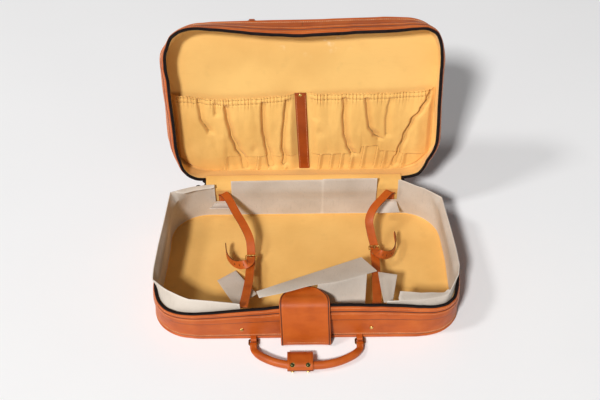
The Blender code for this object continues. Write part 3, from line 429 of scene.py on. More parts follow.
@dataclass(frozen=True)
class Cotton:
    """Plain woven cotton lining, glued or gathered."""

    name: str
    shade: Triple
    body: Triple
    scuffed: bool = False
    thread: float = 0.55 * MM

    def lay(self, made: Recipe) -> None:
        """Lays out the cloth's nodes.

        Args:
            made: The finish that they go into.
        """
        colour = made.tones(made.cloud(9.0, 4.0), (0.3, self.shade), (0.62, self.body))
        colour = made.over(colour, made.specks((260.0, 2.0, (0.15, 1.0, 1.0)), 0.55, 0.75, 0.22), self.shade)
        colour = made.over(colour, made.specks((34.0, 6.0), 0.6, 0.8, 0.25), self.shade, 0.78)
        if self.scuffed:
            colour = made.over(colour, self.scuffs(made), (0.93, 0.83, 0.62))
        # Painted shade: much darker where the cloth bends in, in its folds, puckers and corners.
        colour = made.over(colour, made.ridge_tone_and_crease_shade(0.49, 0.43, 0.9), self.shade, 0.26)
        made.surface({"Base Color": colour, "Roughness": made.rough(500.0, 2.0, 0.72, 0.92)})
        made.surface({"Specular IOR Level": 0.25, "Sheen Weight": 0.12, "Sheen Roughness": 0.5})
        made.relief((made.cloud(40.0), 0.0004), (made.weave(self.thread, "XYZ"), 0.00006))

    @staticmethod
    def scuffs(made: Recipe) -> Socket:
        """Pale rubbed marks near the top of the lid's lining.

        Args:
            made: The finish that they go into.

        Returns:
            How strong they are.
        """
        marks = made.specks((70.0, 8.0), 0.6, 0.74, 0.45)
        for axis, low, high in (("Z", 0.335, 0.385), ("X", -0.1, -0.03), ("X", 0.12, 0.05)):
            near = made.between(made.node("SeparateXYZ", {"Vector": made.place}, axis), low, high)
            marks = made.combine("MULTIPLY", marks, near)
        return marks


@dataclass(frozen=True)
class Greyboard:
    """Pressed grey card with fibres and handling marks."""

    name: str
    shade: Triple
    body: Triple

    def lay(self, made: Recipe) -> None:
        """Lays out the card's nodes.

        Args:
            made: The finish that they go into.
        """
        colour = made.tones(made.cloud(14.0, 5.0), (0.32, self.shade), (0.62, self.body))
        colour = made.over(colour, made.specks((420.0, 3.0, (1.0, 0.2, 0.2)), 0.58, 0.74, 0.3), self.shade, 0.72)
        colour = made.over(colour, made.specks((900.0, 1.0), 0.7, 0.76, 0.5), self.shade, 0.5)
        colour = made.over(colour, made.ridge_tone_and_crease_shade(0.54, 0.62, 0.5), (0.8, 0.74, 0.66))
        made.surface({"Base Color": colour, "Roughness": made.rough(90.0, 3.0, 0.8, 0.95)})
        made.surface({"Specular IOR Level": 0.25})
        made.relief((made.cloud(24.0), 0.0005), (made.cloud(600.0), 0.00006))


@dataclass(frozen=True)
class ZipCloth:
    """Black woven zip tape, or its moulded teeth."""

    name: str
    body: Triple
    dusty: Triple
    roughness: float
    woven: bool

    def lay(self, made: Recipe) -> None:
        """Lays out the zip's nodes.

        Args:
            made: The finish that they go into.
        """
        colour = made.tones(made.cloud(120.0, 4.0), (0.35, self.body), (0.75, self.dusty))
        wear = made.rough(300.0, 3.0, self.roughness - 0.08, self.roughness + 0.1)
        made.surface({"Base Color": colour, "Roughness": wear, "Specular IOR Level": 0.1})
        if self.woven:
            made.relief((made.weave(0.6 * MM, "XY"), 0.0001))
        else:
            made.relief((made.cloud(900.0, 2.0), 0.00003))


@dataclass(frozen=True)
class Metal:
    """Polished or aged metal with tarnish."""

    name: str
    tarnish: Triple
    bright: Triple
    gloss: Pair = (0.38, 0.18)

    def lay(self, made: Recipe) -> None:
        """Lays out the metal's nodes.

        Args:
            made: The finish that they go into.
        """
        colour = made.tones(made.cloud(180.0, 5.0), (0.36, self.tarnish), (0.58, self.bright))
        made.surface({"Base Color": colour, "Roughness": made.rough(260.0, 4.0, *self.gloss), "Metallic": 1.0})
        made.relief((made.cloud(1200.0, 2.0), 0.00002))


@dataclass(frozen=True)
class Thread:
    """Twisted, waxed sewing thread."""

    name: str
    shade: Triple
    body: Triple

    def lay(self, made: Recipe) -> None:
        """Lays out the thread's nodes.

        Args:
            made: The finish that they go into.
        """
        colour = made.tones(made.cloud(140.0), (0.35, self.shade), (0.65, self.body))
        made.surface({"Base Color": colour, "Roughness": made.rough(800.0, 2.0, 0.5, 0.75)})
        made.relief((made.weave(0.5 * MM, ["DIAGONAL"]), 0.00008))


class Finish(Enum):
    """Every finish on the case: the record's slot that it belongs to, and how it is made."""

    TAN = "tan_leather", Leather(
        "tan_leather_smooth", (0.34, 0.054, 0.004), (0.485, 0.092, 0.008), (0.58, 0.132, 0.016)
    )
    STRAP = "strap_leather", Leather(
        "strap_leather_soft", (0.32, 0.05, 0.004), (0.455, 0.082, 0.007), (0.55, 0.118, 0.014)
    )
    # A darker copy of the strap leather, used on the strip between the pockets as painted shade.
    SHADED_STRAP = "strap_leather", Leather(
        "strap_leather_painted_shade", (0.21, 0.031, 0.002), (0.3, 0.048, 0.003), (0.38, 0.07, 0.006)
    )
    # Dark leather for cut edges: real edge ink, also laid in creases and grooves as painted shade.
    EDGE = "strap_leather", Leather(
        "edge_ink_and_crease_shade", (0.06, 0.015, 0.006), (0.095, 0.022, 0.008), (0.16, 0.042, 0.014), (0.45, 0.65)
    )
    LINING = "yellow_lining", Cotton("yellow_cotton", (0.7, 0.385, 0.102), (0.8, 0.465, 0.137))
    LID_LINING = "yellow_lining", Cotton("yellow_cotton_scuffed", (0.735, 0.425, 0.126), (0.815, 0.497, 0.157), True)
    CARD = "greyboard", Greyboard("grey_card", (0.52, 0.445, 0.37), (0.605, 0.53, 0.452))
    TAPE = "zip_black", ZipCloth("zip_tape", (0.0105, 0.007, 0.0066), (0.01995, 0.0133, 0.01254), 0.8, True)
    TEETH = "zip_black", ZipCloth("zip_teeth", (0.0115, 0.008, 0.0078), (0.02185, 0.0152, 0.01482), 0.55, False)
    BRASS = "brass", Metal("brass_polished", (0.4, 0.23, 0.055), (0.74, 0.5, 0.16))
    AGED = "brass", Metal("brass_aged", (0.09, 0.05, 0.018), (0.26, 0.155, 0.055), (0.5, 0.3))
    BRONZE = "snap_bronze", Metal("snap_dark_bronze", (0.03, 0.034, 0.014), (0.085, 0.08, 0.03), (0.4, 0.22))
    THREAD = "tan_leather", Thread("tan_thread", (0.66, 0.3, 0.12), (0.86, 0.5, 0.26))
    COTTON_THREAD = "yellow_lining", Thread("yellow_thread", (0.34, 0.15, 0.03), (0.5, 0.24, 0.06))

    def __init__(self, slot: str, look: Leather | Cotton | Greyboard | ZipCloth | Metal | Thread) -> None:
        """Keeps the record's slot and the finish's own sizes and tones."""
        self.slot = slot
        self.look = look

    @property
    def material(self) -> bpy.types.Material:
        """The finish's material, made the first time it is needed.

        Returns:
            The material.
        """
        if self.look.name not in bpy.data.materials:
            self.look.lay(Recipe(self.look.name))
        return bpy.data.materials[self.look.name]


# --- mesh drafting


class Draft:
    """Vertices and faces of one piece while it is drawn."""

    def __init__(self) -> None:
        """Starts an empty draft."""
        self.verts: list[Vector] = []
        self.faces: list[tuple[int, ...]] = []
        self.finish: list[int] = []

    def add(self, points: Sequence[Vector]) -> int:
        """Adds points and returns the number of the first.

        Args:
            points: The new points.

        Returns:
            The first one's number.
        """
        first = len(self.verts)
        self.verts.extend(points)
        return first

    def face(self, corners: Sequence[int], finish: int = 0) -> None:
        """Adds one face."""
        self.faces.append(tuple(corners))
        self.finish.append(finish)

    def skin(self, rings: Rows, closed: bool = False, edges: Sequence[int] = (), trim: int = 0) -> int:
        """Joins rings of points, each to the next.

        Args:
            rings: One ring for each place along the piece.
            closed: Whether the last ring joins the first.
            edges: The sides of the ring that show the second finish.
            trim: How many rings at the start show the second finish.

        Returns:
            The number of the first point.
        """
        size, count = len(rings[0]), len(rings)
        first = self.add([point for ring in rings for point in ring])
        for row in range(count if closed else count - 1):
            here, there = first + row * size, first + (row + 1) % count * size
            for corner in range(size):
                other = (corner + 1) % size
                finish = int(corner in edges or row + 1 < trim)
                self.face((here + corner, here + other, there + other, there + corner), finish)
        return first

    def close_on(self, middle: Vector, first: int, size: int, finish: int = 0) -> None:
        """Closes a ring of points, which starts at the first number, on its middle.

        Args:
            middle: The point that it closes on.
            first: The ring's first number.
            size: How many points the ring has.
            finish: The faces' finish.
        """
        tip = self.add([middle])
        for corner in range(size):
            self.face((first + corner, first + (corner + 1) % size, tip), finish)

    def loft(self, rows: Rows, closed: bool = False, edges: Sequence[int] = (), cap: int = 0) -> "Draft":
        """Joins closed outlines into a solid.

        Args:
            rows: One outline of points for each place along the piece.
            closed: Whether the last outline joins the first.
            edges: The outline's sides that show the second finish.
            cap: The finish's number of the end faces.

        Returns:
            The draft itself.
        """
        size = len(rows[0])
        first = self.skin(rows, closed, edges)
        last = first + (len(rows) - 1) * size
        if not closed:
            self.face(range(first, first + size), cap)
            self.face(range(last, last + size), cap)
        return self

    def fan(self, rings: Rows) -> None:
        """Rings that close on a point at the end, from the outermost to the last before the middle.

        Args:
            rings: The rings, all of one size.
        """
        size = len(rings[0])
        first = self.skin(rings)
        self.close_on(sum(rings[-1], Vector()) / size, first + (len(rings) - 1) * size, size)

    def slab(
        self,
        grid: Rows,
        thickness: float,
        keep: Callable[[int, int], bool] = lambda row, column: True,
        rim: int = 0,
        dress: Callable[[int], int] = lambda column: 0,
    ) -> "Draft":
        """A sheet with thickness from a grid of points, leaving out cells.

        Args:
            grid: Rows of points on the sheet.
            thickness: The sheet's thickness.
            keep: Says whether the cell at (row, column) is there.
            rim: The finish's number of the cut edges.
            dress: The finish's number of the faces in a column.

        Returns:
            The draft itself.
        """
        rows, columns = len(grid), len(grid[0])
        fronts, backs = [], []
        for r in range(rows):
            for c in range(columns):
                down = grid[min(r + 1, rows - 1)][c] - grid[max(r - 1, 0)][c]
                normal = heading(grid[r], c).cross(down).normalized() * thickness
                fronts.append(grid[r][c] + normal * 0.5)
                backs.append(grid[r][c] - normal * 0.5)
        front = self.add(fronts)
        back = self.add(backs)
        present = {(r, c) for r in range(rows - 1) for c in range(columns - 1) if keep(r, c)}
        for r, c in sorted(present):
            a, b = r * columns + c, r * columns + c + 1
            d, e = a + columns, b + columns
            self.face((front + a, front + b, front + e, front + d), dress(c))
            self.face((back + a, back + d, back + e, back + b), dress(c))
            sides = (((r - 1, c), a, b), ((r + 1, c), e, d), ((r, c - 1), d, a), ((r, c + 1), b, e))
            for cell, first, second in sides:
                if cell not in present:
                    self.face((front + second, front + first, back + first, back + second), rim)
        return self

    def weld(self) -> "Draft":
        """Joins the vertices that share a place.

        Returns:
            The draft itself.
        """
        known: dict[tuple[float, ...], int] = {}
        number_of = []
        verts = []
        for vert in self.verts:
            key = tuple(round(c, 7) for c in vert)
            if key not in known:
                known[key] = len(verts)
                verts.append(vert)
            number_of.append(known[key])
        self.verts = verts
        self.faces = [tuple(number_of[c] for c in face) for face in self.faces]
        return self

    def stitch(self, start: Vector, end: Vector, outward: Vector, thick: float) -> None:
        """One stitch: a short fat thread that dips into the leather at both ends.

        Args:
            start: One end.
            end: The other end.
            outward: The surface's direction.
            thick: The thread's thickness.
        """
        along = end - start
        side = along.cross(outward).normalized()
        rings = []
        for share, size, lift in ((0.02, 0.45, -0.5), (0.28, 1.0, 0.35), (0.72, 1.0, 0.35), (0.98, 0.45, -0.5)):
            centre = start + along * share + outward * thick * lift
            ring = []
            for step in range(5):
                angle = TURN * (step + 0.25) / 5
                ring.append(centre + (side * math.cos(angle) + outward * math.sin(angle)) * thick * size / 2)
            rings.append(ring)
        self.loft(rings)

    def seam(
        self,
        line: Sequence[Vector],
        outward: Vector | Sequence[Vector],
        pitch: float = 3.6 * MM,
        thick: float = 0.75 * MM,
    ) -> "Draft":
        """A row of stitches along a line of points.

        Args:
            line: Evenly spaced points, one for each stitch and one more.
            outward: The surface's direction, or one for each point.
            pitch: Not longer than the distance between the points.
            thick: The thread's thickness.

        Returns:
            The draft itself.
        """
        ways = [outward] * len(line) if isinstance(outward, Vector) else outward
        for start, end, way in zip(line, line[1:], ways):
            if 0.4 * pitch < (end - start).length < 2 * pitch:
                self.stitch(start.lerp(end, 0.1), start.lerp(end, 0.9), way, thick)
        return self


def put(
    name: str,
    draft: Draft,
    finishes: Sequence[Finish],
    body: str | None,
    nodes: Sequence[str] = (),
    bevel: float = 0.0,
    rounds: int = 2,
    turn: Matrix | None = None,
) -> bpy.types.Object:
    """Turns a draft into a finished piece on a body.

    Args:
        name: The piece's name.
        draft: Its vertices and faces.
        finishes: Its finishes, in the order of the faces' numbers.
        body: The body that it rides on, or None where it is placed later.
        nodes: The solids that it stands for.
        bevel: Width of the rounding on its sharp edges.
        rounds: Steps in that rounding.
        turn: Moves the drawn points first.

    Returns:
        The new piece.
    """
    mesh = bpy.data.meshes.new(name)
    mesh.from_pydata([turn @ v for v in draft.verts] if turn else draft.verts, [], draft.faces)
    mesh.polygons.foreach_set("material_index", draft.finish)
    build = bmesh.new()
    build.from_mesh(mesh)
    bmesh.ops.recalc_face_normals(build, faces=build.faces)
    bmesh.ops.delete(build, geom=[v for v in build.verts if not v.link_faces], context="VERTS")
    build.to_mesh(mesh)
    build.free()
    for finish in finishes:
        mesh.materials.append(finish.material)
    piece = bpy.data.objects.new(name, mesh)
    bpy.context.scene.collection.objects.link(piece)
    if bevel:
        rounding = piece.modifiers.new("rounded edges", "BEVEL")
        rounding.width = bevel
        rounding.segments = rounds
        rounding.limit_method = "ANGLE"
        rounding.angle_limit = math.radians(38.0)
        rounding.use_clamp_overlap = True
        graph = bpy.context.evaluated_depsgraph_get()
        piece.data = bpy.data.meshes.new_from_object(piece.evaluated_get(graph))
        piece.modifiers.clear()
        bpy.data.meshes.remove(mesh)
        piece.data.name = name
    piece.data.shade_smooth()
    piece.data.set_sharp_from_angle(angle=math.radians(42.0))
    if nodes:
        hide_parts(*nodes)
    if body:
        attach(piece, body)
    log.info("%s: %d faces", name, len(piece.data.polygons))
    return piece


def turned(
    name: str,
    centre: Vector,
    normal: Vector,
    profile: Sequence[Pair],
    finishes: Sequence[Finish],
    body: str,
    nodes: Sequence[str],
    trim: int = 0,
) -> None:
    """Makes a turned piece, such as a rivet's head.

    Args:
        name: The piece's name.
        centre: Where the profile's height is 0.
        normal: The turning axis.
        profile: (radius, height) points in mm from the middle of the back to the middle of the face.
        finishes: Its finishes.
        body: The body that it rides on.
        nodes: The solids that it stands for.
        trim: How many of the profile's points show the second finish.
    """
    normal = normal.normalized()
    side = normal.cross(ACROSS if abs(normal.x) < 0.9 else UP).normalized()
    other = normal.cross(side)
    spokes = [side * c + other * s for c, s in ring_of(24, 1.0)]
    draft = Draft()
    rings = [[centre + normal * (high * MM) + spoke * (out * MM) for spoke in spokes] for out, high in profile]
    first = draft.skin(rings, trim=trim)
    draft.close_on(centre + normal * (profile[0][1] * MM), first, len(spokes), int(trim > 0))
    last = first + (len(profile) - 1) * len(spokes)
    draft.close_on(centre + normal * (profile[-1][1] * MM), last, len(spokes))
    put(name, draft, finishes, body, nodes)


# --- the case's outline


@dataclass(frozen=True)
class Stop:
    """A place on the case's outline in plan, with the way out of the case and the distance from the front's middle."""

    x: float
    y: float
    nx: float
    ny: float
    run: float


@dataclass(frozen=True)
class Outline:
    """The case seen from above: a rectangle with large round corners."""

    half_length: float = 290 * MM
    half_depth: float = 172.5 * MM
    corner: float = 90 * MM

    @property
    def corner_x(self) -> float:
        """Where the front's straight part ends."""
        return self.half_length - self.corner

    @property
    def corner_y(self) -> float:
        """Where the sides' straight part ends."""
        return self.half_depth - self.corner

    @property
    def quarter(self) -> float:
        """Length of one round corner."""
        return self.corner * math.pi / 2

    @property
    def half_run(self) -> float:
        """From the front's middle round one side to the rear's middle."""
        return 2 * self.corner_x + 2 * self.quarter + 2 * self.corner_y

    def at(self, run: float) -> Stop:
        """The place at a distance from the front's middle, to the right if it is positive.

        Args:
            run: The distance.

        Returns:
            The place.
        """
        side = 1 if run >= 0 else -1
        left = abs(run)
        if left <= self.corner_x:
            return Stop(side * left, -self.half_depth, 0.0, -1.0, run)
        left -= self.corner_x
        if left <= self.quarter:
            return self.on_corner(-math.pi / 2 + left / self.corner, -self.corner_y, side, run)
        left -= self.quarter
        if left <= 2 * self.corner_y:
            return Stop(side * self.half_length, left - self.corner_y, float(side), 0.0, run)
        left -= 2 * self.corner_y
        if left <= self.quarter:
            return self.on_corner(left / self.corner, self.corner_y, side, run)
        left -= self.quarter
        return Stop(side * (self.corner_x - left), self.half_depth, 0.0, 1.0, run)

    def on_corner(self, angle: float, centre_y: float, side: int, run: float) -> Stop:
        """A place on one of the round corners."""
        nx, ny = math.cos(angle), math.sin(angle)
        return Stop(side * (self.corner_x + self.corner * nx), centre_y + self.corner * ny, side * nx, ny, run)

    def stops(self, start: float, end: float, pitch: float) -> list[Stop]:
        """Places from start to end, about a pitch apart.

        Args:
            start: Run of the first.
            end: Run of the last.
            pitch: Their distance.

        Returns:
            The places.
        """
        count = max(1, math.ceil(abs(end - start) / pitch))
        return [self.at(run) for run in spread(start, end, count)]

    def loop(self, pitch: float) -> list[Stop]:
        """Places all the way round.

        Args:
            pitch: About how far apart they come.

        Returns:
            The places.
        """
        count = math.ceil(2 * self.half_run / pitch)
        runs = [-self.half_run + 2 * self.half_run * (step + 0.5) / count for step in range(count)]
        return [self.at(run) for run in runs]


OUTLINE = Outline()
REAR_CORNER_RUN = OUTLINE.half_run - OUTLINE.corner_x
RIM = 90 * MM
HINGE = Vector((0.0, OUTLINE.half_depth, RIM))
LID_OPEN = Matrix.Translation(HINGE) @ Matrix.Rotation(math.radians(-101.0), 4, "X") @ Matrix.Translation(-HINGE)
WALL = 2.6 * MM
LINING = 1.6 * MM
CARD = 1.6 * MM
FOOT = 7.9 * MM
FLOOR = 7.8 * MM
ZIP_END_RUN = REAR_CORNER_RUN - 8.5 * MM


# --- the two shells


@dataclass(frozen=True)
class Shell:
    """What the base and the lid share: panel, bead, walls, sewn band, zip and lining."""

    prefix: str
    body: str
    board: str
    floor_lining: str
    cloth: Finish
    height: float
    band_foot: float
    foot_shift: Keys
    rim_shift: Keys
    rim_sink: Keys
    pitch: float = 6 * MM

    def out(self, rise: float) -> float:
        """How far out the wall's leather stands at a rise from the panel."""
        share = (rise - FOOT) / (self.height - FOOT)
        return -1.2 * MM - 7.8 * MM * share + 1.3 * MM * math.sin(math.pi * max(0.0, min(1.0, share)))

    def soften(self, stop: Stop, share: float) -> Pair:
        """How far the soft wall has moved out and sunk at a share of the height.

        Args:
            stop: Where on the outline.
            share: The share of the height.

        Returns:
            The way out and the way down.
        """
        foot = lined(stop.run, self.foot_shift) * MM
        sag = lined(stop.run, self.rim_sink) * MM
        rim = lined(stop.run, self.rim_shift) * MM - 1.08 * sag * abs(stop.ny)
        share = max(0.0, min(1.05, share))
        wave = 0.5 * MM * math.sin(stop.run * 29.0) * math.sin(math.pi * min(1.0, share))
        rear = smooth((REAR_CORNER_RUN - abs(stop.run)) / (120 * MM))
        return foot + (rim - foot) * share**1.3 + wave * rear, sag * share**2.2

    def level(self, x: float, y: float, rise: float) -> Vector:
        """A place in the frame from its place in plan and its rise."""
        raise NotImplementedError

    def place(self, stop: Stop, out: float, rise: float) -> Vector:
        """A place on this half of the case.

        Args:
            stop: Where on the outline.
            out: How far outside the outline.
            rise: How far from the panel.

        Returns:
            The place in the frame.
        """
        share = max(0.0, min(1.2, rise / self.height))
        bulge, sink = self.soften(stop, share)
        out += bulge
        return self.level(stop.x + stop.nx * out, stop.y + stop.ny * out, rise - sink)

    def on_panel(self, stop: Stop, out: float, rise: float) -> Vector:
        """A place near the panel's edge, which has moved with the foot of the wall."""
        out += self.soften(stop, 0.0)[0]
        return self.level(stop.x + stop.nx * out, stop.y + stop.ny * out, rise)

    def outward(self, stop: Stop) -> Vector:
        """The direction out of the case at a stop."""
        return self.place(stop, 1 * MM, self.height / 2) - self.place(stop, 0.0, self.height / 2)

    def swept(self, stops: Sequence[Stop], section: Sequence[Pair]) -> Rows:
        """A section of (out, rise) points carried along the outline."""
        return [[self.place(stop, out, rise) for out, rise in section] for stop in stops]

    def tier(self, points: Sequence[Pair]) -> list[Pair]:
        """Turns (proud of the wall, rise) points into (out, rise) points."""
        return [(self.out(rise) + GAP + proud, rise) for proud, rise in points]

    def dress(
        self, name: str, draft: Draft, finishes: Sequence[Finish], nodes: Sequence[str] = (), bevel: float = 0.0
    ) -> bpy.types.Object:
        """Finishes a piece of this half, with the half's name before its own."""
        return put(f"{self.prefix}_{name}", draft, finishes, self.body, nodes, bevel)

    def dome(self, low: float, high: float, edge: float) -> Draft:
        """A panel with a fine outline whose faces are gently uneven.

        Args:
            low: Rise of its outer face.
            high: Rise of its inner face.
            edge: How far out its edge is.

        Returns:
            The panel's draft.
        """
        draft = Draft()
        stops = OUTLINE.loop(self.pitch)
        rims = [[self.on_panel(s, edge, rise) for s in stops] for rise in (low, high)]
        for rim, rise, way in zip(rims, (low, high), (-1, 1)):
            rings = [rim]
            for share in (0.93, 0.84, 0.72, 0.58, 0.42, 0.26, 0.12):
                ring = []
                for s in stops:
                    out = edge + self.soften(s, 0.0)[0]
                    x, y = (s.x + s.nx * out) * share, (s.y + s.ny * out) * share
                    uneven = 0.4 * MM * noise.noise(Vector((x * 9, y * 9, 3.0 * way))) * (1 - share**4)
                    ring.append(self.level(x, y, rise + uneven))
                rings.append(ring)
            draft.fan(rings)
        draft.skin(rims)
        return draft.weld()

    @property
    def inward(self) -> Vector:
        """The direction from the panel into the case."""
        return (self.level(0.0, 0.0, 1.0) - self.level(0.0, 0.0, 0.0)).normalized()

    def build(self) -> None:
        """Makes and dresses every piece of this half."""
        self.build_panel()
        self.build_bead()
        self.build_walls()
        self.build_band()
        self.build_zip()
        self.build_linings()
        self.build_seams()

    def build_panel(self) -> None:
        """The leather panel under or on top of the case, and the stiff board behind it."""
        panel = self.dome(0.0, 3 * MM, -5.2 * MM)
        self.dress("panel_leather", panel, [Finish.TAN], [f"{self.prefix}_panel"], 0.5 * MM)
        self.dress("stiff_board", self.dome(3.3 * MM, 5.9 * MM, -6.3 * MM), [Finish.CARD], [self.board])

    def build_bead(self) -> None:
        """The leather piping round the panel's edge."""
        radius = 3.9 * MM
        section = [(-6.0 * MM, 0.2 * MM)]
        section += [(-radius + radius * c, radius + radius * s) for c, s in arc(-math.pi / 2, math.pi, 10)]
        section += [(-5.0 * MM, 7.6 * MM), (-6.0 * MM, 6.8 * MM)]
        draft = Draft().loft(self.swept(OUTLINE.loop(self.pitch), section), closed=True)
        self.dress("piping", draft, [Finish.TAN], [f"{self.prefix}_welt"])

    def wall_section(self) -> list[Pair]:
        """The wall leather's section, with its foot turned in to the piping.

        Returns:
            Points of (out, rise).
        """
        top = self.height - 4.6 * MM
        rises = spread(FOOT, top, 12)
        outer = [(self.out(rise), rise) for rise in rises]
        outer[0] = (outer[0][0] - 0.9 * MM, FOOT)
        outer.insert(1, (self.out(FOOT + 1 * MM) - 0.1 * MM, FOOT + 0.9 * MM))
        outer.insert(2, (self.out(FOOT + 2 * MM), FOOT + 2.2 * MM))
        inner = [(self.out(rise) - WALL, rise) for rise in reversed(rises[::3])]
        return outer + inner

    def build_walls(self) -> None:
        """The left and right wall leathers, which meet in a butted seam at the front and rear."""
        seam = 0.35 * MM
        for side, label in SIDES.items():
            stops = OUTLINE.stops(side * seam, side * (OUTLINE.half_run - seam), self.pitch)
            # The foot, where it turns in to the piping, takes the dark edge leather: edge ink, with painted shade in
            # the join.
            draft = Draft().loft(self.swept(stops, self.wall_section()), edges=(0, 1))
            node = f"{self.prefix}_wall_{label}"
            self.dress(f"wall_{label}_leather", draft, [Finish.TAN, Finish.EDGE], [node], 0.3 * MM)

    def build_band(self) -> None:
        """The sewn leather band outside the rim: two tiers with a crease between them."""
        tiers = (
            (self.band_foot, (0.0, 0.0), (1.3, -0.2), (2.2, 0.7), (2.5, 2.1)),
            (self.height - 16.5 * MM, (2.6, -3.0), (2.2, -1.2), (0.4, -0.5), (0.4, 0.7), (2.2, 1.5), (2.8, 4.2)),
            (self.height - 4.6 * MM, (2.4, -3.0), (1.5, -0.5), (0.0, 0.0)),
        )
        points = [(proud * MM, start + up * MM) for start, *tier in tiers for proud, up in tier]
        stops = OUTLINE.stops(-ZIP_END_RUN, ZIP_END_RUN, self.pitch)
        # The band's lower edge and the crease between its tiers take the dark edge leather: edge ink on the edge,
        # painted shade in the crease.
        draft = Draft().loft(self.swept(stops, self.tier(points)), edges=(0, 1, 2, 5, 6))
        self.dress("rim_leather", draft, [Finish.TAN, Finish.EDGE], [f"{self.prefix}_rim_band"], 0.2 * MM)

    def build_zip(self) -> None:
        """The zip's tape along the rim, with one half of its teeth."""
        low = self.height - 4.3 * MM
        outer = self.out(self.height) + 2.1 * MM

        def section(*points: Pair) -> list[Pair]:
            """A section from its points' places in from the zip's face and up from its foot."""
            return [(outer - back * MM, low + up * MM) for back, up in points]

        tape = section((6.4, 0.0), (0.2, 0.0), (0.0, 1.2), (0.8, 2.8), (2.3, 3.2), (3.2, 2.0), (6.4, 1.8))
        stops = OUTLINE.stops(-ZIP_END_RUN, ZIP_END_RUN, self.pitch)
        self.dress("zip_tape", Draft().loft(self.swept(stops, tape)), [Finish.TAPE], [f"zip_chain_{self.prefix}"])
        tooth = section((3.6, 1.9), (3.4, 3.7), (5.4, 3.9), (5.9, 1.7))
        teeth = Draft()
        pitch = 2.3 * MM
        for number in range(int(2 * ZIP_END_RUN / pitch)):
            middle = -ZIP_END_RUN + pitch * (number + 0.5)
            teeth.loft(self.swept([OUTLINE.at(middle + along * pitch) for along in (-0.3, 0.3)], tooth))
        self.dress("zip_teeth", teeth, [Finish.TEETH])

    def lining_face(self, rise: float) -> float:
        """How far out the lining's outer face is, behind the wall."""
        return self.out(rise) - WALL - 1.6 * MM

    def build_linings(self) -> None:
        """The cloth on the floor and on the inside of the walls."""
        floor = self.dome(6.2 * MM, FLOOR, -6.3 * MM)
        sheet = self.dress("floor_cloth", floor, [self.cloth], [self.floor_lining])
        low, high = FLOOR + GAP, self.height - 4.9 * MM
        rises = spread(low, high, 8)
        section = [(self.lining_face(rise), rise) for rise in rises]
        for rise in reversed(rises):
            cove = 4.5 * MM * (1 - min(1.0, (rise - low) / (5 * MM))) ** 2
            section.append((self.lining_face(rise) - LINING - cove, rise))
        draft = Draft().loft(self.swept(OUTLINE.loop(self.pitch), section), closed=True)
        wall = self.dress("wall_cloth", draft, [self.cloth], [f"{self.prefix}_wall_lining"])

    def build_seams(self) -> None:
        """All the stitching on the outside of this half."""
        draft = Draft()
        rows = (
            (ZIP_END_RUN, 2.5 * MM, self.height - 21.5 * MM),
            (ZIP_END_RUN, 2.2 * MM, self.height - 8.0 * MM),
            (OUTLINE.half_run, -0.2 * MM, 13.4 * MM),
            (OUTLINE.half_run, -0.2 * MM, 11.2 * MM),
        )
        for end, proud, rise in rows:
            count = round(2 * end / (3.7 * MM))
            stops = [OUTLINE.at(run) for run in spread(-end, end, count)]
            line = [self.place(stop, self.out(rise) + GAP + proud, rise) for stop in stops]
            draft.seam(line, [self.outward(stop).normalized() for stop in stops])
        end = OUTLINE.half_run
        count = round(2 * end / (3.8 * MM))
        stops = [OUTLINE.at(run) for run in spread(-end, end, count)]
        draft.seam([self.on_panel(s, -11.5 * MM, -0.05 * MM) for s in stops], -self.inward)
        self.dress("stitching", draft, [Finish.THREAD])


@dataclass(frozen=True)
class BaseShell(Shell):
    """The half that stands on the ground."""

    prefix: str = "base"
    body: str = "case_base"
    board: str = "base_floor_board"
    floor_lining: str = "base_floor_lining"
    cloth: Finish = Finish.LINING
    height: float = RIM
    band_foot: float = 51.5 * MM
    foot_shift: Keys = (
        (-0.54, 0), (-0.48, -1), (-0.43, 1), (-0.38, 4.7), (-0.34, 6), (-0.3, 8.5), (-0.28, 8.5), (-0.26, 6.5),
        (-0.24, 4), (-0.22, 0.5), (0, 0.5), (0.2, 1), (0.22, 2), (0.24, 5.5), (0.26, 9.5), (0.28, 11.5),
        (0.3, 12), (0.32, 10), (0.34, 8), (0.366, 6), (0.44, 8), (0.49, 6), (0.52, 4.5), (0.56, 4), (0.6, 3),
        (0.648, 0),
    )
    rim_shift: Keys = (
        (-0.648, 0), (-0.6, 0), (-0.5, -1), (-0.44, 0), (-0.38, 3.5), (-0.34, 5.5), (-0.32, 11), (-0.3, 16.9),
        (-0.28, 25), (-0.26, 30), (-0.24, 29), (-0.22, 26), (-0.2, 23.8), (-0.18, 22.5), (-0.16, 20.4),
        (-0.14, 18.1), (-0.12, 16), (-0.1, 14), (-0.08, 12.5), (-0.06, 9), (-0.03, 6), (0, 4.5), (0.03, 3.6),
        (0.06, 3.1), (0.08, 3.1), (0.1, 3.9), (0.12, 5.2), (0.14, 5), (0.16, 6.6), (0.18, 7.6), (0.2, 9.6),
        (0.22, 12.9), (0.24, 20), (0.26, 25.7), (0.28, 24.9), (0.3, 17.7), (0.32, 13.1), (0.34, 12),
        (0.38, 11), (0.44, 8), (0.5, 3.5), (0.56, 2), (0.6, 1), (0.648, 0),
    )
    rim_sink: Keys = (
        (-0.45, 0), (-0.34, 3), (-0.28, 8), (-0.24, 10), (-0.16, 9), (-0.1, 7), (-0.03, 3.5), (0, 2.5),
        (0.06, 2), (0.14, 3), (0.2, 5), (0.24, 6), (0.28, 5.5), (0.34, 3), (0.45, 0),
    )

    def level(self, x: float, y: float, rise: float) -> Vector:
        """The base is drawn as it stands."""
        return Vector((x, y, rise))


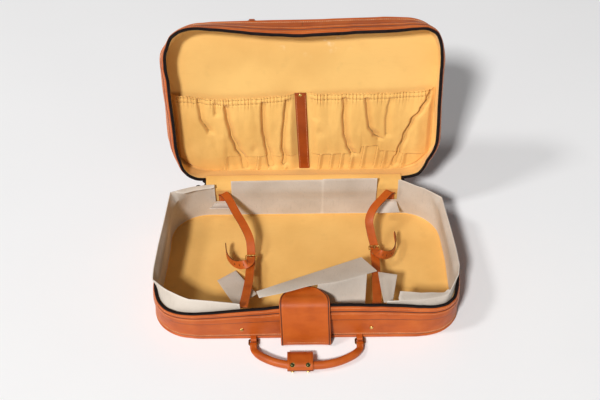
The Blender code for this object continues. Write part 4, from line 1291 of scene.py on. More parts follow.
@dataclass(frozen=True)
class LidShell(Shell):
    """The half that stands open behind the base."""

    prefix: str = "lid"
    body: str = "lid"
    board: str = "lid_board"
    floor_lining: str = "lid_panel_lining"
    cloth: Finish = Finish.LID_LINING
    height: float = 60 * MM
    band_foot: float = 30.5 * MM
    foot_shift: Keys = (
        (-0.58, 0), (-0.54, -4), (-0.48, -3), (-0.44, -3.5), (-0.4, -1), (-0.34, 0), (-0.32, -1), (-0.3, -5.5),
        (-0.28, -6), (-0.26, -9.5), (-0.24, -7.5), (-0.2, -8), (-0.18, -6), (-0.14, -5), (-0.1, -4),
        (-0.06, -3), (0, -2.5), (0.04, -2), (0.06, -1), (0.1, 0), (0.14, 1), (0.16, 2), (0.18, 1.5),
        (0.2, 0.5), (0.24, 0.5), (0.28, -1), (0.3, -3), (0.34, -5), (0.38, -6), (0.42, -6.5), (0.46, -6),
        (0.48, -3.5), (0.5, -2), (0.52, 0),
    )
    rim_shift: Keys = (
        (-0.648, 0), (-0.62, 4), (-0.6, 3), (-0.58, -2.5), (-0.56, -11), (-0.54, -14.5), (-0.52, -16),
        (-0.48, -15.6), (-0.44, -13.9), (-0.4, -12), (-0.36, -11.5), (-0.34, -8.3), (-0.32, -5.9), (-0.3, 0.3),
        (-0.28, 5.2), (-0.26, 14.5), (-0.24, 16.2), (-0.22, 14.8), (-0.2, 12.9), (-0.18, 10.6), (-0.16, 9.1),
        (-0.14, 6.4), (-0.12, 4.1), (-0.1, 1), (-0.08, -0.6), (-0.06, -2.3), (-0.04, -2.9), (-0.02, -4.8),
        (0, -5), (0.02, -3.4), (0.04, -2.6), (0.06, -1.6), (0.08, -1), (0.1, 1.1), (0.12, 1.7), (0.14, 2.4),
        (0.16, 2.8), (0.18, 3.9), (0.2, 5.8), (0.22, 9.9), (0.24, 18), (0.26, 19.3), (0.28, 9.5), (0.3, 0.5),
        (0.32, -4.5), (0.34, -6.4), (0.38, -5.6), (0.42, -5.1), (0.46, -3.8), (0.5, -4), (0.52, -6.9),
        (0.54, -9), (0.56, -9.8), (0.58, -3), (0.6, 3.8), (0.648, 0),
    )
    rim_sink: Keys = ((0.0, 0.0),)

    def level(self, x: float, y: float, rise: float) -> Vector:
        """The lid is drawn shut and turned open."""
        return LID_OPEN @ Vector((x, y, RIM + self.height - rise))


BASE = BaseShell()
LID = LidShell()


# --- the hinge side


@dataclass(frozen=True)
class HingeSide:
    """The leather and lining that join the halves at the rear, between the zip's ends."""

    half_width: float = 199.7 * MM
    leather: float = 1.7 * MM

    def strip(self, route: Sequence[Pair], half_width: float, thick: float) -> Draft:
        """A wide sheet bent along a route of (y, z) points.

        Args:
            route: Its middle line.
            half_width: Half its width.
            thick: Its thickness.

        Returns:
            The strip's draft.
        """
        path = curve_through([Vector((0.0, y, z)) for y, z in route], 6)
        across = spread(-half_width, half_width, 40)
        return Draft().slab([[Vector((x, point.y, point.z)) for x in across] for point in path], thick)

    def lid_point(self, out: float, rise: float) -> Pair:
        """(y, z) of a place on the lid's rear wall."""
        point = LID.level(0.0, OUTLINE.half_depth + out, rise)
        return point.y, point.z

    def build(self) -> None:
        """Makes the leather outside and the cloth inside."""
        skin = GAP + 1.0 * MM
        rear = OUTLINE.half_depth
        base_rises = ((48 * MM, 0.0), (62 * MM, 0.0), (76 * MM, 0.0), (84 * MM, 0.2 * MM))
        lid_rises = ((54 * MM, 0.4 * MM), (45 * MM, 0.0), (31 * MM, 0.0))
        route = [(rear + BASE.out(rise) + skin + more, rise) for rise, more in base_rises]
        route.append((rear - 3.4 * MM, 91.5 * MM))
        route += [self.lid_point(LID.out(rise) + skin + more, rise) for rise, more in lid_rises]
        draft = self.strip(route, self.half_width, self.leather)
        nodes = ["hinge_leather_base", "hinge_leather_lid"]
        outer = put("hinge_leather_strip", draft, [Finish.TAN], None, nodes, 0.4 * MM)
        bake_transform(outer)
        face = 1.5 * LINING + GAP
        route = [
            *((rear + BASE.lining_face(rise) - face, rise) for rise in (72 * MM, 80 * MM)),
            (rear + BASE.lining_face(85 * MM) - face + GAP, 86.5 * MM),
            (rear - 9.5 * MM, 95.0 * MM),
            (rear - 2.5 * MM, 100.5 * MM),
            *(self.lid_point(LID.lining_face(rise) - face, rise) for rise in (53 * MM, 45 * MM)),
        ]
        inner = put("hinge_lining_strip", self.strip(route, 205 * MM, LINING), [Finish.LINING], None)
        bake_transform(inner)
        self.build_gussets()

    def build_gussets(self) -> None:
        """The zip tape that runs on from the base to the lid at each end of the zip.
        """
        outline = rounded_bar(7.5 * MM, 0.8 * MM)
        for side, label in SIDES.items():
            stop = OUTLINE.at(side * (ZIP_END_RUN - 1 * MM))
            near = OUTLINE.at(side * (ZIP_END_RUN + 7 * MM))
            rim, lid_rim = BASE.place(near, -5.5 * MM, 90 * MM), LID.place(near, -5.5 * MM, 60 * MM)
            bend = (rim + lid_rim) / 2 + Vector((0.0, 2.5 * MM, 1.0 * MM))
            ends = BASE.place(stop, -8.0 * MM, 84 * MM), LID.place(stop, -8.0 * MM, 54 * MM)
            path = curve_through([ends[0], rim, bend, lid_rim, ends[1]], 6)
            wide = Vector((float(side), 0.25, 0.0)).normalized()
            draft = Draft().loft(carried(path, [wide] * len(path), lambda n: outline))
            piece = put(f"zip_end_{label}", draft, [Finish.TAPE], None)
            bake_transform(piece)


# --- greyboard


@dataclass(frozen=True)
class CardCollar:
    """A folded card that stands inside the wall from the front, round one side, to the rear join."""

    side: int
    front_x: float
    notch: Pair
    top_out: Keys
    top_rise: Keys
    ledge: Keys
    notch_rise: float = 52 * MM
    join_x: float = 40 * MM

    def inside(self, stop: Stop, rise: float) -> float:
        """How far out the card may stand behind the lining and the zip.

        Args:
            stop: Where on the outline.
            rise: The height.

        Returns:
            The distance.
        """
        face = BASE.lining_face(rise) - LINING - 0.9 * MM
        if rise > 80 * MM:
            face = min(face, -14.6 * MM)
        hinge = smooth((abs(stop.run) - 0.63) / 0.03) * smooth((rise - 62 * MM) / (10 * MM))
        return face - 3.6 * MM * hinge + BASE.soften(stop, rise / BASE.height)[0]

    def build(self) -> None:
        """Makes the collar with its notch and the strip folded in along its top."""
        last = OUTLINE.half_run - self.side * self.join_x
        start = abs(self.front_x)
        runs = spread(start, last, 150)
        marks = [OUTLINE.half_run - self.side * x for x in self.notch]
        for mark in marks:
            nearest = min(range(len(runs)), key=lambda n: abs(runs[n] - mark))
            runs[nearest] = mark
        low_mark, high_mark = sorted(marks)
        columns = [self.column(run) for run in runs]
        grid = [[column[row] for column in columns] for row in range(len(columns[0]))]
        notch_row = 5
        ledge_row = 11

        def keep(row: int, column: int) -> bool:
            """Leaves out the notch, and the strip folded in where it has no width.

            Args:
                row: The cell's row.
                column: The cell's column.

            Returns:
                Whether the cell is there.
            """
            middle = (runs[column] + runs[column + 1]) / 2
            if low_mark < middle < high_mark and row >= notch_row:
                return False
            return row < ledge_row or lined(middle, self.ledge) > 4

        label = SIDES[self.side]
        draft = Draft().slab(grid, CARD, keep)
        piece = put(f"card_side_{label}", draft, [Finish.CARD], "case_base", [f"card_collar_{label}"])
        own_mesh(piece)

    def column(self, run: float) -> list[Vector]:
        """Points up the card at one place, from its foot to the end of the strip folded in.

        Args:
            run: The distance from the front's middle.

        Returns:
            The points.
        """
        stop = OUTLINE.at(self.side * run)
        edge, high = self.edge(run), lined(run, self.top_rise) * MM
        top = (edge.x - stop.x) * stop.nx + (edge.y - stop.y) * stop.ny
        slide = (edge.x - stop.x) * stop.ny - (edge.y - stop.y) * stop.nx
        low = FLOOR + 0.9 * MM
        foot = self.inside(stop, low) - 1.6 * MM
        brink = RIM - 2 * MM - BASE.soften(stop, 1.0)[1]
        rises = spread(low, self.notch_rise, 5)
        rises += [self.notch_rise + (brink - self.notch_rise) * share for share in (0.35, 0.68, 1.0)]
        points = []
        for rise in rises:
            share = (rise - low) / (high - low)
            bow = 0.8 * MM * math.sin(run * 21.0 + self.side) * math.sin(math.pi * share)
            hug = (1 - smooth((run - 0.3) / 0.035)) * smooth((rise - 30 * MM) / (40 * MM))
            straight = foot + (top - foot) * share - bow
            behind = self.inside(stop, rise)
            points.append((min(straight + (behind - straight) * hug, behind), rise))
        last = points[-1][0]
        for share in (0.4, 0.75, 1.0):
            points.append((last + (top - last) * share, brink + (high - brink) * share))
        width = lined(run, self.ledge) * MM
        for share in (0.08, 0.5, 1.0):
            points.append((top - width * share, high - 2.2 * MM * share))
        drawn = []
        for out, rise in points:
            aside = slide * smooth((rise - self.notch_rise) / (high - self.notch_rise))
            x, y = stop.x + stop.nx * out + stop.ny * aside, stop.y + stop.ny * out - stop.nx * aside
            drawn.append(Vector((x, y, rise)))
        return drawn

    def edge(self, run: float) -> Vector:
        """The top's place in plan, on straight folded lines between its keys.

        Args:
            run: The distance from the front's middle.

        Returns:
            The place.
        """
        keys = self.top_out
        run = max(keys[0][0], min(keys[-1][0], run))
        number = max(n for n in range(len(keys) - 1) if keys[n][0] <= run)
        spots = []
        for place, out in keys[number : number + 2]:
            stop = OUTLINE.at(self.side * place)
            spots.append(Vector((stop.x + stop.nx * out * MM, stop.y + stop.ny * out * MM, 0.0)))
        return spots[0].lerp(spots[1], (run - keys[number][0]) / (keys[number + 1][0] - keys[number][0]))


@dataclass(frozen=True)
class CardTab:
    """A small tongue of card cut from a notch and folded inward."""

    name: str
    corners: tuple[Triple, ...]
    sag: float = 2.0 * MM

    def build(self) -> None:
        """Makes the tongue from its hinge edge (first two corners) to its free edge."""
        a, b, c, d = (Vector(corner) * MM for corner in self.corners)
        grid = []
        for share in spread(0.0, 1.0, 12):
            left, right = a.lerp(d, share), b.lerp(c, share)
            drop = Vector((0.0, 0.0, -self.sag * math.sin(math.pi * share)))
            grid.append([left.lerp(right, column / 10) + drop * (1 + 0.2 * math.sin(column)) for column in range(11)])
        put(self.name, Draft().slab(grid, CARD), [Finish.CARD], "case_base", (), 0.2 * MM)


@dataclass(frozen=True)
class FrontCard:
    """The loose card at the front: a strip folded in along its crease and the piece that hangs from it."""

    crease: tuple[Triple, ...] = (
        (-88.3, -152.8, 95.5), (-39.9, -144.4, 100.0), (0.3, -132.2, 101.6), (27.4, -124.0, 99.6), (68.4, -111.5, 94.0),
        (138.0, -75.9, 82.0),
    )
    strip: tuple[Triple, Triple] = ((-93.5, -138.6, 97.0), (111.7, -19.8, 62.1))
    hang: Pair = (0.47, 0.9)
    foot_y: float = -151.8 * MM

    def build(self) -> None:
        """Makes the card as one creased sheet."""
        strip_left, strip_right = (Vector(p) * MM for p in self.strip)
        columns = 60
        creased = evenly(curve_through([Vector(p) * MM for p in self.crease], 12), 1.0 * MM)
        start, end = self.hang
        shares = spread(0.0, 1.0, columns)
        for mark in self.hang:
            shares[round(mark * columns)] = mark
        rows: Rows = []
        crease_row = 6
        for share in (1.0, 0.8, 0.6, 0.4, 0.2, 0.06, 0.0):
            row = []
            for u in shares:
                near, far = creased[round(u * (len(creased) - 1))], strip_left.lerp(strip_right, u)
                curl = 1.6 * MM * math.sin(math.pi * share) * math.sin(math.pi * u)
                row.append(near.lerp(far, share) + UP * curl)
            rows.append(row)
        for share in (0.04, 0.14, 0.3, 0.5, 0.7, 0.85, 1.0):
            row = []
            for u in shares:
                near = creased[round(u * (len(creased) - 1))]
                inside = max(start, min(end, u))
                top = creased[round(inside * (len(creased) - 1))]
                foot = Vector((top.x - 7.0 * MM, self.foot_y, FLOOR + 1.1 * MM))
                bow = 1.8 * MM * math.sin(math.pi * share) * math.sin(math.pi * (inside - start) / (end - start))
                row.append(near.lerp(foot, share) + Vector((0.0, bow, 0.0)))
            rows.append(row)

        def keep(row: int, column: int) -> bool:
            """Keeps all of the strip, and the hanging piece between its ends."""
            middle = (shares[column] + shares[column + 1]) / 2
            return row < crease_row or start < middle < end

        draft = Draft().slab(rows, CARD, keep)
        put("card_front_folded", draft, [Finish.CARD], "case_base", ["card_front_piece"], 0.15 * MM, 1)


def build_cards() -> None:
    """Makes every greyboard piece."""
    CardCollar(
        side=-1,
        front_x=-124 * MM,
        notch=(-187 * MM, -152 * MM),
        top_out=(
            (0.124, -2.2), (0.137, -5.0), (0.151, -7.0), (0.174, -10.3), (0.223, -13.0), (0.244, -14.2), (0.276, -10.6),
            (0.313, 4.6), (0.339, 0.9), (0.404, -2.4), (0.465, -7.3), (0.52, -10.0), (0.557, 0.8), (0.606, -16.7),
            (0.622, -19.0), (0.647, -18.4), (0.95, -18.6),
        ),
        top_rise=(
            (0.124, 97.0), (0.2, 98.5), (0.29, 100.0), (0.313, 104.0), (0.557, 105.5), (0.61, 103.5), (0.661, 103.5),
            (0.696, 113.0), (0.95, 115.4),
        ),
        ledge=((0.56, 0.0), (0.575, 13.0), (0.609, 10.5), (0.648, 9.5), (0.66, 9.0), (0.662, 0.0)),
    ).build()
    CardCollar(
        side=1,
        front_x=150 * MM,
        notch=(198 * MM, 153 * MM),
        top_out=(
            (0.15, -6.0), (0.173, -6.6), (0.22, -6.9), (0.266, 6.3), (0.317, 2.3), (0.343, 4.1), (0.382, 3.5),
            (0.439, 0.0), (0.499, -4.8), (0.533, -3.3), (0.579, -18.4), (0.646, -14.5), (0.655, -18.6), (0.95, -18.6),
        ),
        top_rise=(
            (0.15, 97.0), (0.255, 98.5), (0.3, 103.0), (0.34, 104.0), (0.533, 105.5), (0.6, 106.0), (0.65, 110.0),
            (0.695, 117.8), (0.95, 115.4),
        ),
        ledge=((0.17, 0.0), (0.176, 25.2), (0.22, 18.0), (0.244, 15.0), (0.274, 7.0), (0.285, 0.0)),
    ).build()
    CardTab("card_tab_rear_left", ((-189, 154, 51.8), (-153, 154, 51.8), (-150, 135, 53.5), (-199, 135, 54))).build()
    CardTab("card_tab_rear_right", ((156, 154, 51.8), (197, 154, 51.8), (203, 132, 40), (158, 132, 38.5))).build()
    corners = ((-133, -149, 66), (-95, -101, 48), (-141, -4, 10.5), (-177, -31, 10.5))
    CardTab("card_tab_front_left", corners, 1.0 * MM).build()
    corners = ((146, -151, 76), (163, -146, 74), (179, -67, 61), (142, -58, 60))
    CardTab("card_tab_front_right", corners, 2.5 * MM).build()
    FrontCard().build()


# --- straps and buckles


def rounded_loop(centre: Vector, half_x: float, length: float, corner: float) -> list[Vector]:
    """A level rectangle with round corners, reaching along y from its centre's side.

    Args:
        centre: The middle of the near side.
        half_x: Half its width.
        length: How far it reaches along y.
        corner: The corners' radius.

    Returns:
        The points round it.
    """
    low, high = sorted((centre.y, centre.y + length))
    points = []
    for number, (sx, sy, y) in enumerate(((1, 1, high), (-1, 1, high), (-1, -1, low), (1, -1, low))):
        for c, s in arc(math.pi / 2 * number, math.pi / 2, 6):
            x = centre.x + sx * (half_x - corner) + corner * c
            points.append(Vector((x, y - sy * corner + corner * s, centre.z)))
    return points


def wire_loop(path: Sequence[Vector], outline: Sequence[Pair]) -> Draft:
    """A level closed wire, such as a ring or a buckle's frame."""
    return Draft().loft(carried(path, [UP] * len(path), lambda n: outline, closed=True), closed=True)


def leather_strip(
    path: Sequence[Vector],
    across: Sequence[Vector],
    half_width: Callable[[int], float],
    thickness: float,
    hole: Callable[[int, float], bool] = lambda number, share: False,
    columns: Sequence[float] = (-1.0, -0.82, -0.5, -0.2706, 0.0, 0.2706, 0.5, 0.82, 1.0),
    crown: float = 0.25 * MM,
) -> Draft:
    """A flat strip of leather along a path, with dark cut edges that stand for edge ink and painted shade.

    Args:
        path: The middle of the strip.
        across: The sideways direction at each point.
        half_width: Half the width at each point's number.
        thickness: The leather's thickness.
        hole: Says whether there is a hole at a point's number and a column's share.
        columns: Places across the strip, from -1 to 1.
        crown: How far the edges bend down.

    Returns:
        The strip's draft.
    """
    grid = []
    for number, point in enumerate(path):
        along = heading(path, number).normalized()
        side = (across[number] - along * across[number].dot(along)).normalized()
        up = side.cross(along)
        half = half_width(number)
        grid.append([point + side * half * u - up * crown * u**4 for u in columns])

    def keep(row: int, column: int) -> bool:
        """Leaves out the holes."""
        return not hole(row, (columns[column] + columns[column + 1]) / 2)

    return Draft().slab(grid, thickness, keep, rim=1)


@dataclass(frozen=True)
class TieStrap:
    """A buckle on its short strap, and the long strap from the rear wall that runs through it."""

    side: int
    buckle: Triple
    front: tuple[Triple, ...]
    rear: tuple[Triple, ...]
    tail: tuple[Triple, ...]
    width: float = 17 * MM
    thickness: float = 1.8 * MM
    wire: float = 1.1 * MM
    buckle_length: float = 13 * MM
    buckle_half: float = 10.8 * MM
    tongue_radius: float = 0.8 * MM
    fold_back: float = 13 * MM
    clearance: float = 0.5 * MM
    lead: float = 8 * MM
    steps: int = 9
    twists: tuple[float, ...] = (0.0, 0.15, 0.55, 0.88, 1.0, 1.0, 1.0)

    @property
    def bar(self) -> Vector:
        """The middle of the buckle's bar."""
        return self.spot(self.buckle)

    @staticmethod
    def spot(shares: Triple) -> Vector:
        """A place given as shares of the case's straight half length, half depth and base height."""
        return Vector((shares[0] * OUTLINE.corner_x, shares[1] * OUTLINE.half_depth, shares[2] * RIM))

    def build(self) -> None:
        """Makes the strap pieces and the buckle."""
        label = SIDES[self.side]
        self.build_buckle(label)
        self.build_tongue(f"buckle_tongue_{label}")
        self.build_short_strap(f"buckle_strap_{label}")
        self.build_long_strap(f"rear_strap_{label}")
        self.build_rivet(label)

    def build_buckle(self, label: str) -> None:
        """The rounded wire frame.

        Args:
            label: The side's name.
        """
        path = rounded_loop(self.bar, self.buckle_half, self.buckle_length, 2.6 * MM)
        draft = wire_loop(path, [(a * 1.15, b) for a, b in ring_of(12, self.wire)])
        put(f"buckle_frame_{label}", draft, [Finish.BRASS], "case_base", [f"buckle_{label}"])

    def build_tongue(self, name: str) -> None:
        """The tongue, curled round the bar.

        Args:
            name: Name of its body and its solid.
        """
        x, y, z = self.bar
        curl = self.wire + 0.3 * MM + self.tongue_radius
        wire = [Vector((x, y + curl * s, z - curl * c)) for c, s in arc(math.radians(-40), math.radians(-160), 14)]
        far = y + self.buckle_length
        tip = z + self.wire + self.clearance + self.tongue_radius
        wire.append(Vector((x, y + self.buckle_length * 0.25, wire[-1].z + 0.2 * MM)))
        wire.append(Vector((x, y + self.buckle_length / 2, (wire[-1].z + tip) / 2)))
        wire.append(Vector((x, far - 0.5 * MM, tip)))
        wire.append(Vector((x, far + self.wire, tip - 0.2 * MM)))
        last = len(wire) - 1
        sizes = [self.tongue_radius * (0.55 if n in (0, last) else 1.0) for n in range(len(wire))]
        draft = Draft().loft(carried(wire, [ACROSS] * len(wire), lambda n: ring_of(10, sizes[n])))
        put(f"{name}_wire", draft, [Finish.BRASS], name, [name], 0.2 * MM)

    def slotted(self, path: Sequence[Vector], low: float, high: float, hole_z: float) -> Callable[[int, float], bool]:
        """Says where the tongue's slot is along a strap's path.

        Args:
            path: The strap's middle line.
            low: The slot's near end.
            high: Its far end.
            hole_z: How far above or below the bar it may be.

        Returns:
            A test of a point's number and a share of the width.
        """

        def hole(row: int, share: float) -> bool:
            """Whether a place on the strap is in the slot.

            Args:
                row: The point's number.
                share: The share of the half width.

            Returns:
                True in the slot.
            """
            if row + 1 >= len(path):
                return False
            middle = (path[row] + path[row + 1]) / 2
            near = abs(middle.z - self.bar.z) < hole_z and abs(middle.x - self.bar.x) < 4 * MM
            return near and low < middle.y < high and abs(share) < 0.2706

        return hole

    def build_short_strap(self, name: str) -> None:
        """The strap that holds the buckle, folded round its bar.

        Args:
            name: Name of its solid.
        """
        bar = self.bar
        turn = self.wire + self.clearance + self.thickness / 2
        route = [self.spot(p) for p in self.front] + [Vector((bar.x, bar.y - self.fold_back, bar.z + turn))]
        path = curve_through(route, self.steps)
        path += [Vector((bar.x, bar.y + turn * s, bar.z + turn * c)) for c, s in arc(0.0, math.pi, 14)]
        path += [Vector((bar.x, bar.y - self.fold_back * share, bar.z - turn)) for share in (0.35, 0.7, 1.0)]
        half = self.width / 2
        reach = turn + self.thickness
        hole = self.slotted(path, bar.y - reach + 0.4 * MM, bar.y + 2 * reach, 2 * reach)
        draft = leather_strip(path, [ACROSS] * len(path), lambda n: half, self.thickness, hole)
        put(f"{name}_leather", draft, [Finish.STRAP, Finish.EDGE], "case_base", [name], 0.35 * MM)
        threads = Draft()
        top = bar.z + turn + self.thickness / 2
        for across in (-1, 1):
            line = [Vector((bar.x + across * 5.8 * MM, bar.y - (5 + 2.6 * n) * MM, top)) for n in range(4)]
            threads.seam(line, UP, 2.6 * MM, 0.6 * MM)
        line = [Vector((bar.x + (n - 2) * 2.9 * MM, bar.y - 12.8 * MM, top)) for n in range(5)]
        threads.seam(line, UP, 2.9 * MM, 0.6 * MM)
        put(f"{name}_stitches", threads, [Finish.THREAD], "case_base")

    @property
    def through(self) -> list[Vector]:
        """Where the long strap runs under the buckle's far end, over its bar and down again.

        Returns:
            The points, from the far end on.
        """
        x, y, z = self.bar
        far = y + self.buckle_length
        over = self.wire + 2 * self.clearance + 1.5 * self.thickness
        under = self.wire + self.thickness / 2 + self.clearance
        lean = math.asin((over + under) / self.buckle_length)
        drop = under * math.cos(lean)
        return [
            Vector((x, far + self.lead, z - drop)),
            Vector((x, far + under * math.sin(lean), z - drop)),
            Vector((x, far - under * math.sin(lean), z - drop)),
            Vector((x, y + over * math.sin(lean), z + over * math.cos(lean))),
            Vector((x, y - over * math.sin(lean) / 2, z + over)),
        ]

    @property
    def anchors(self) -> list[Vector]:
        """Where the long strap is sewn on, up the rear wall's lining.

        Returns:
            The points, from the lowest on.
        """
        found = []
        for height in (0.5 * RIM, 0.64 * RIM, 0.74 * RIM):
            inside = BASE.lining_face(height) - LINING - GAP - self.thickness / 2 - 0.9 * MM
            found.append(Vector((self.rear[0][0] * OUTLINE.corner_x, OUTLINE.half_depth + inside, height)))
        return found

    def sideways(self, path: Sequence[Vector], keys: Sequence[float]) -> list[Vector]:
        """The long strap's direction across its leather, which turns over in the curl.

        Args:
            path: Its middle line after the two points that the keys leave out.
            keys: The twist at each key of the line, in quarter turns.

        Returns:
            One direction for each point.
        """
        across = []
        for number in range(len(path)):
            first, part = divmod(max(0, number - 2), self.steps)
            share = keys[first]
            if part:
                share += (keys[first + 1] - share) * part / self.steps
            angle = math.pi / 2 * share
            along = heading(path, number)
            level = Vector((-along.y, along.x, 0.0)).normalized()
            across.append(level * math.cos(angle) + UP * self.side * math.sin(angle))
        across[:3] = [ACROSS] * 3
        return across

    def build_long_strap(self, name: str) -> None:
        """The strap that runs through the buckle and ends in a loose curl.

        Args:
            name: Name of its solid.
        """
        anchors = self.anchors
        route = anchors[2:] + [self.spot(p) for p in self.rear] + self.through
        path = anchors[:2] + curve_through(route + [self.spot(p) for p in self.tail], self.steps)
        across = self.sideways(path, [0.0] * len(route) + list(self.twists))
        count = len(path)
        half = self.width / 2
        tip = (0.55, 0.78, 0.9, 0.96, 0.99, 1.0)

        def half_width(number: int) -> float:
            """Half the strap's width, which narrows at its tip."""
            return half * tip[min(count - 1 - number, len(tip) - 1)]

        near = self.bar.y
        slot = self.slotted(path, near - 1.5 * MM, near + 10.5 * MM, 4.5 * MM)
        first_hole = (len(route) + 1) * self.steps + 4
        punched = {first_hole + 7 * n for n in range(4)}

        def hole(row: int, share: float) -> bool:
            """Whether a place on the strap is in the slot or in a punched hole."""
            return slot(row, share) or (row in punched and abs(share) < 0.2)

        columns = (-1.0, -0.82, -0.5, -0.2706, -0.11, 0.11, 0.2706, 0.5, 0.82, 1.0)
        draft = leather_strip(path, across, half_width, self.thickness, hole, columns)
        put(f"{name}_leather", draft, [Finish.STRAP, Finish.EDGE], "case_base", [name], 0.35 * MM)
        threads = Draft()
        face = -self.thickness / 2 - 0.1 * MM
        points = [p.lerp(q, share) for p, q in zip(anchors, anchors[1:]) for share in (0.0, 0.33, 0.66)]
        for offset in (-5.8 * MM, 5.8 * MM):
            line = [point + Vector((offset, face, 0.0)) for point in points]
            threads.seam(line, Vector((0.0, -1.0, 0.0)), 3.4 * MM, 0.6 * MM)
        put(f"{name}_stitches", threads, [Finish.THREAD], "case_base")

    def build_rivet(self, label: str) -> None:
        """The brass rivet head outside the front wall.

        Args:
            label: The side's name.
        """
        height = 0.317 * RIM
        stop = OUTLINE.at(self.side * 0.615 * OUTLINE.corner_x)
        centre = BASE.place(stop, BASE.out(height) + GAP - 0.2 * MM, height)
        profile = ((2.6, 0.0), (3.5, 0.1), (3.7, 0.7), (3.4, 1.4), (2.6, 1.9), (1.3, 2.2))
        way = Vector((0.0, -1.0, 0.09))
        nodes = [f"strap_rivet_{label}"]
        turned(f"strap_rivet_head_{label}", centre, way, profile, [Finish.BRASS], "case_base", nodes)


# --- the front flap


@dataclass(frozen=True)
class FrontFlap:
    """The thick leather flap that rises from the front's foot and bends in over the rim."""

    half_width: float = 45 * MM
    thickness: float = 3.2 * MM
    tip_length: float = 45 * MM
    corner: float = 43 * MM
    rise: float = math.radians(-0.6)
    fold: Pair = (-187.8 * MM, 3.0 * MM)
    bend: Triple = (0.0, -168.3 * MM, 92.3 * MM)
    front: tuple[Pair, ...] = (
        (-188.6, 2.6), (-190.8, 6.5), (-190.6, 14), (-188.2, 28), (-184.6, 42), (-180.6, 57), (-176.4, 71),
        (-172.8, 81.5), (-169.2, 88.6), (-163.4, 92.7), (-155.0, 94.0),
    )
    groove: float = 1.0 - 2.7 / 47.0

    def route(self) -> list[Vector]:
        """The middle line of the leather, from the fold at the foot to the end of the tip.

        Returns:
            The points of the line.
        """
        points = [Vector((0.0, y * MM, z * MM)) for y, z in self.front]
        along = Vector((0.0, math.cos(self.rise), math.sin(self.rise)))
        points += [Vector(self.bend) + along * self.tip_length * share for share in (0.55, 0.8, 1.0)]
        return evenly(curve_through(points, 6), 1.9 * MM)

    def build(self) -> None:
        """Makes the flap, its sewn root and its stitching."""
        path = self.route()
        runs = lengths(path)
        whole = runs[-1]
        groove = self.groove
        right = [0.85, 0.91, groove - 0.017, groove - 0.006, groove + 0.006, groove + 0.017, 0.985, 1.0]
        columns = [-u for u in reversed(right)] + [n / 12 for n in range(-9, 10)] + right
        grid = []
        for number, point in enumerate(path):
            left = whole - runs[number]
            half = self.half_width + 2.0 * MM
            if left < self.corner:
                half -= self.corner - math.sqrt(max(0.0, self.corner**2 - (self.corner - left) ** 2))
            share = runs[number] / whole
            middle = -1.4 * MM - 2.5 * MM * smooth(share / 0.7)
            up = ACROSS.cross(heading(path, number).normalized())
            row = []
            for u in columns:
                x = half * u
                dent = -0.6 * MM if abs(abs(u) - groove) < 0.008 else 0.0
                uneven = 0.7 * MM * noise.noise(Vector((x * 22, share * 3.0, 5.0)))
                crown = -0.9 * MM * abs(u) ** 3 * (1 - bell(share - 0.66, 0.12))
                row.append(Vector((x + middle, point.y, point.z)) - up * (dent + uneven + crown))
            grid.append(row)
        # The groove near each side takes the dark edge leather: painted shade in the groove.
        groove_shade = (3, len(columns) - 5)
        draft = Draft().slab(grid, self.thickness, rim=1, dress=lambda column: int(column in groove_shade))
        cover = put("flap_cover", draft, [Finish.TAN, Finish.EDGE], None, ["flap_lower", "flap_tip"], 0.6 * MM)
        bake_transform(cover)
        self.build_root()
        self.build_stitching(path, whole)

    def build_root(self) -> None:
        """The leather from under the case to the flap's fold."""
        y, z = self.fold
        round_end = arc(-math.pi / 2, math.pi, 6)
        outline = [(y + 0.4 * MM - 1.6 * MM * c, z + 1.6 * MM * s) for c, s in round_end]
        outline += [(-172.7 * MM, 4.8 * MM), (-172.7 * MM, 1.4 * MM)]
        places = [1 * MM + self.half_width * u for u in (-1.0, -0.9, -0.4, 0.0, 0.4, 0.9, 1.0)]
        draft = Draft().loft([[Vector((x, y, z)) for y, z in outline] for x in places], cap=1)
        put("flap_sewn_root", draft, [Finish.TAN, Finish.EDGE], "case_base", ["flap_root"], 0.3 * MM)

    def build_stitching(self, path: Sequence[Vector], whole: float) -> None:
        """Two rows of stitches across the flap: at its foot and behind its tip's edge.

        Args:
            path: The leather's middle line.
            whole: Its length.
        """
        draft = Draft()
        for target, half, shift in ((9.0 * MM, 38.0 * MM, 1.0 * MM), (whole - 7.0 * MM, 26.0 * MM, -5.0 * MM)):
            number = round(target / whole * (len(path) - 1))
            up = ACROSS.cross(heading(path, number).normalized())
            if up.y > 0 or up.z < 0:
                up.negate()
            place = path[number] + up * (self.thickness / 2)
            count = round(2 * half / (3.8 * MM))
            draft.seam([place + ACROSS * x for x in spread(shift - half, shift + half, count)], up)
        piece = put("flap_stitching", draft, [Finish.THREAD], None)
        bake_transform(piece)


# --- the handles


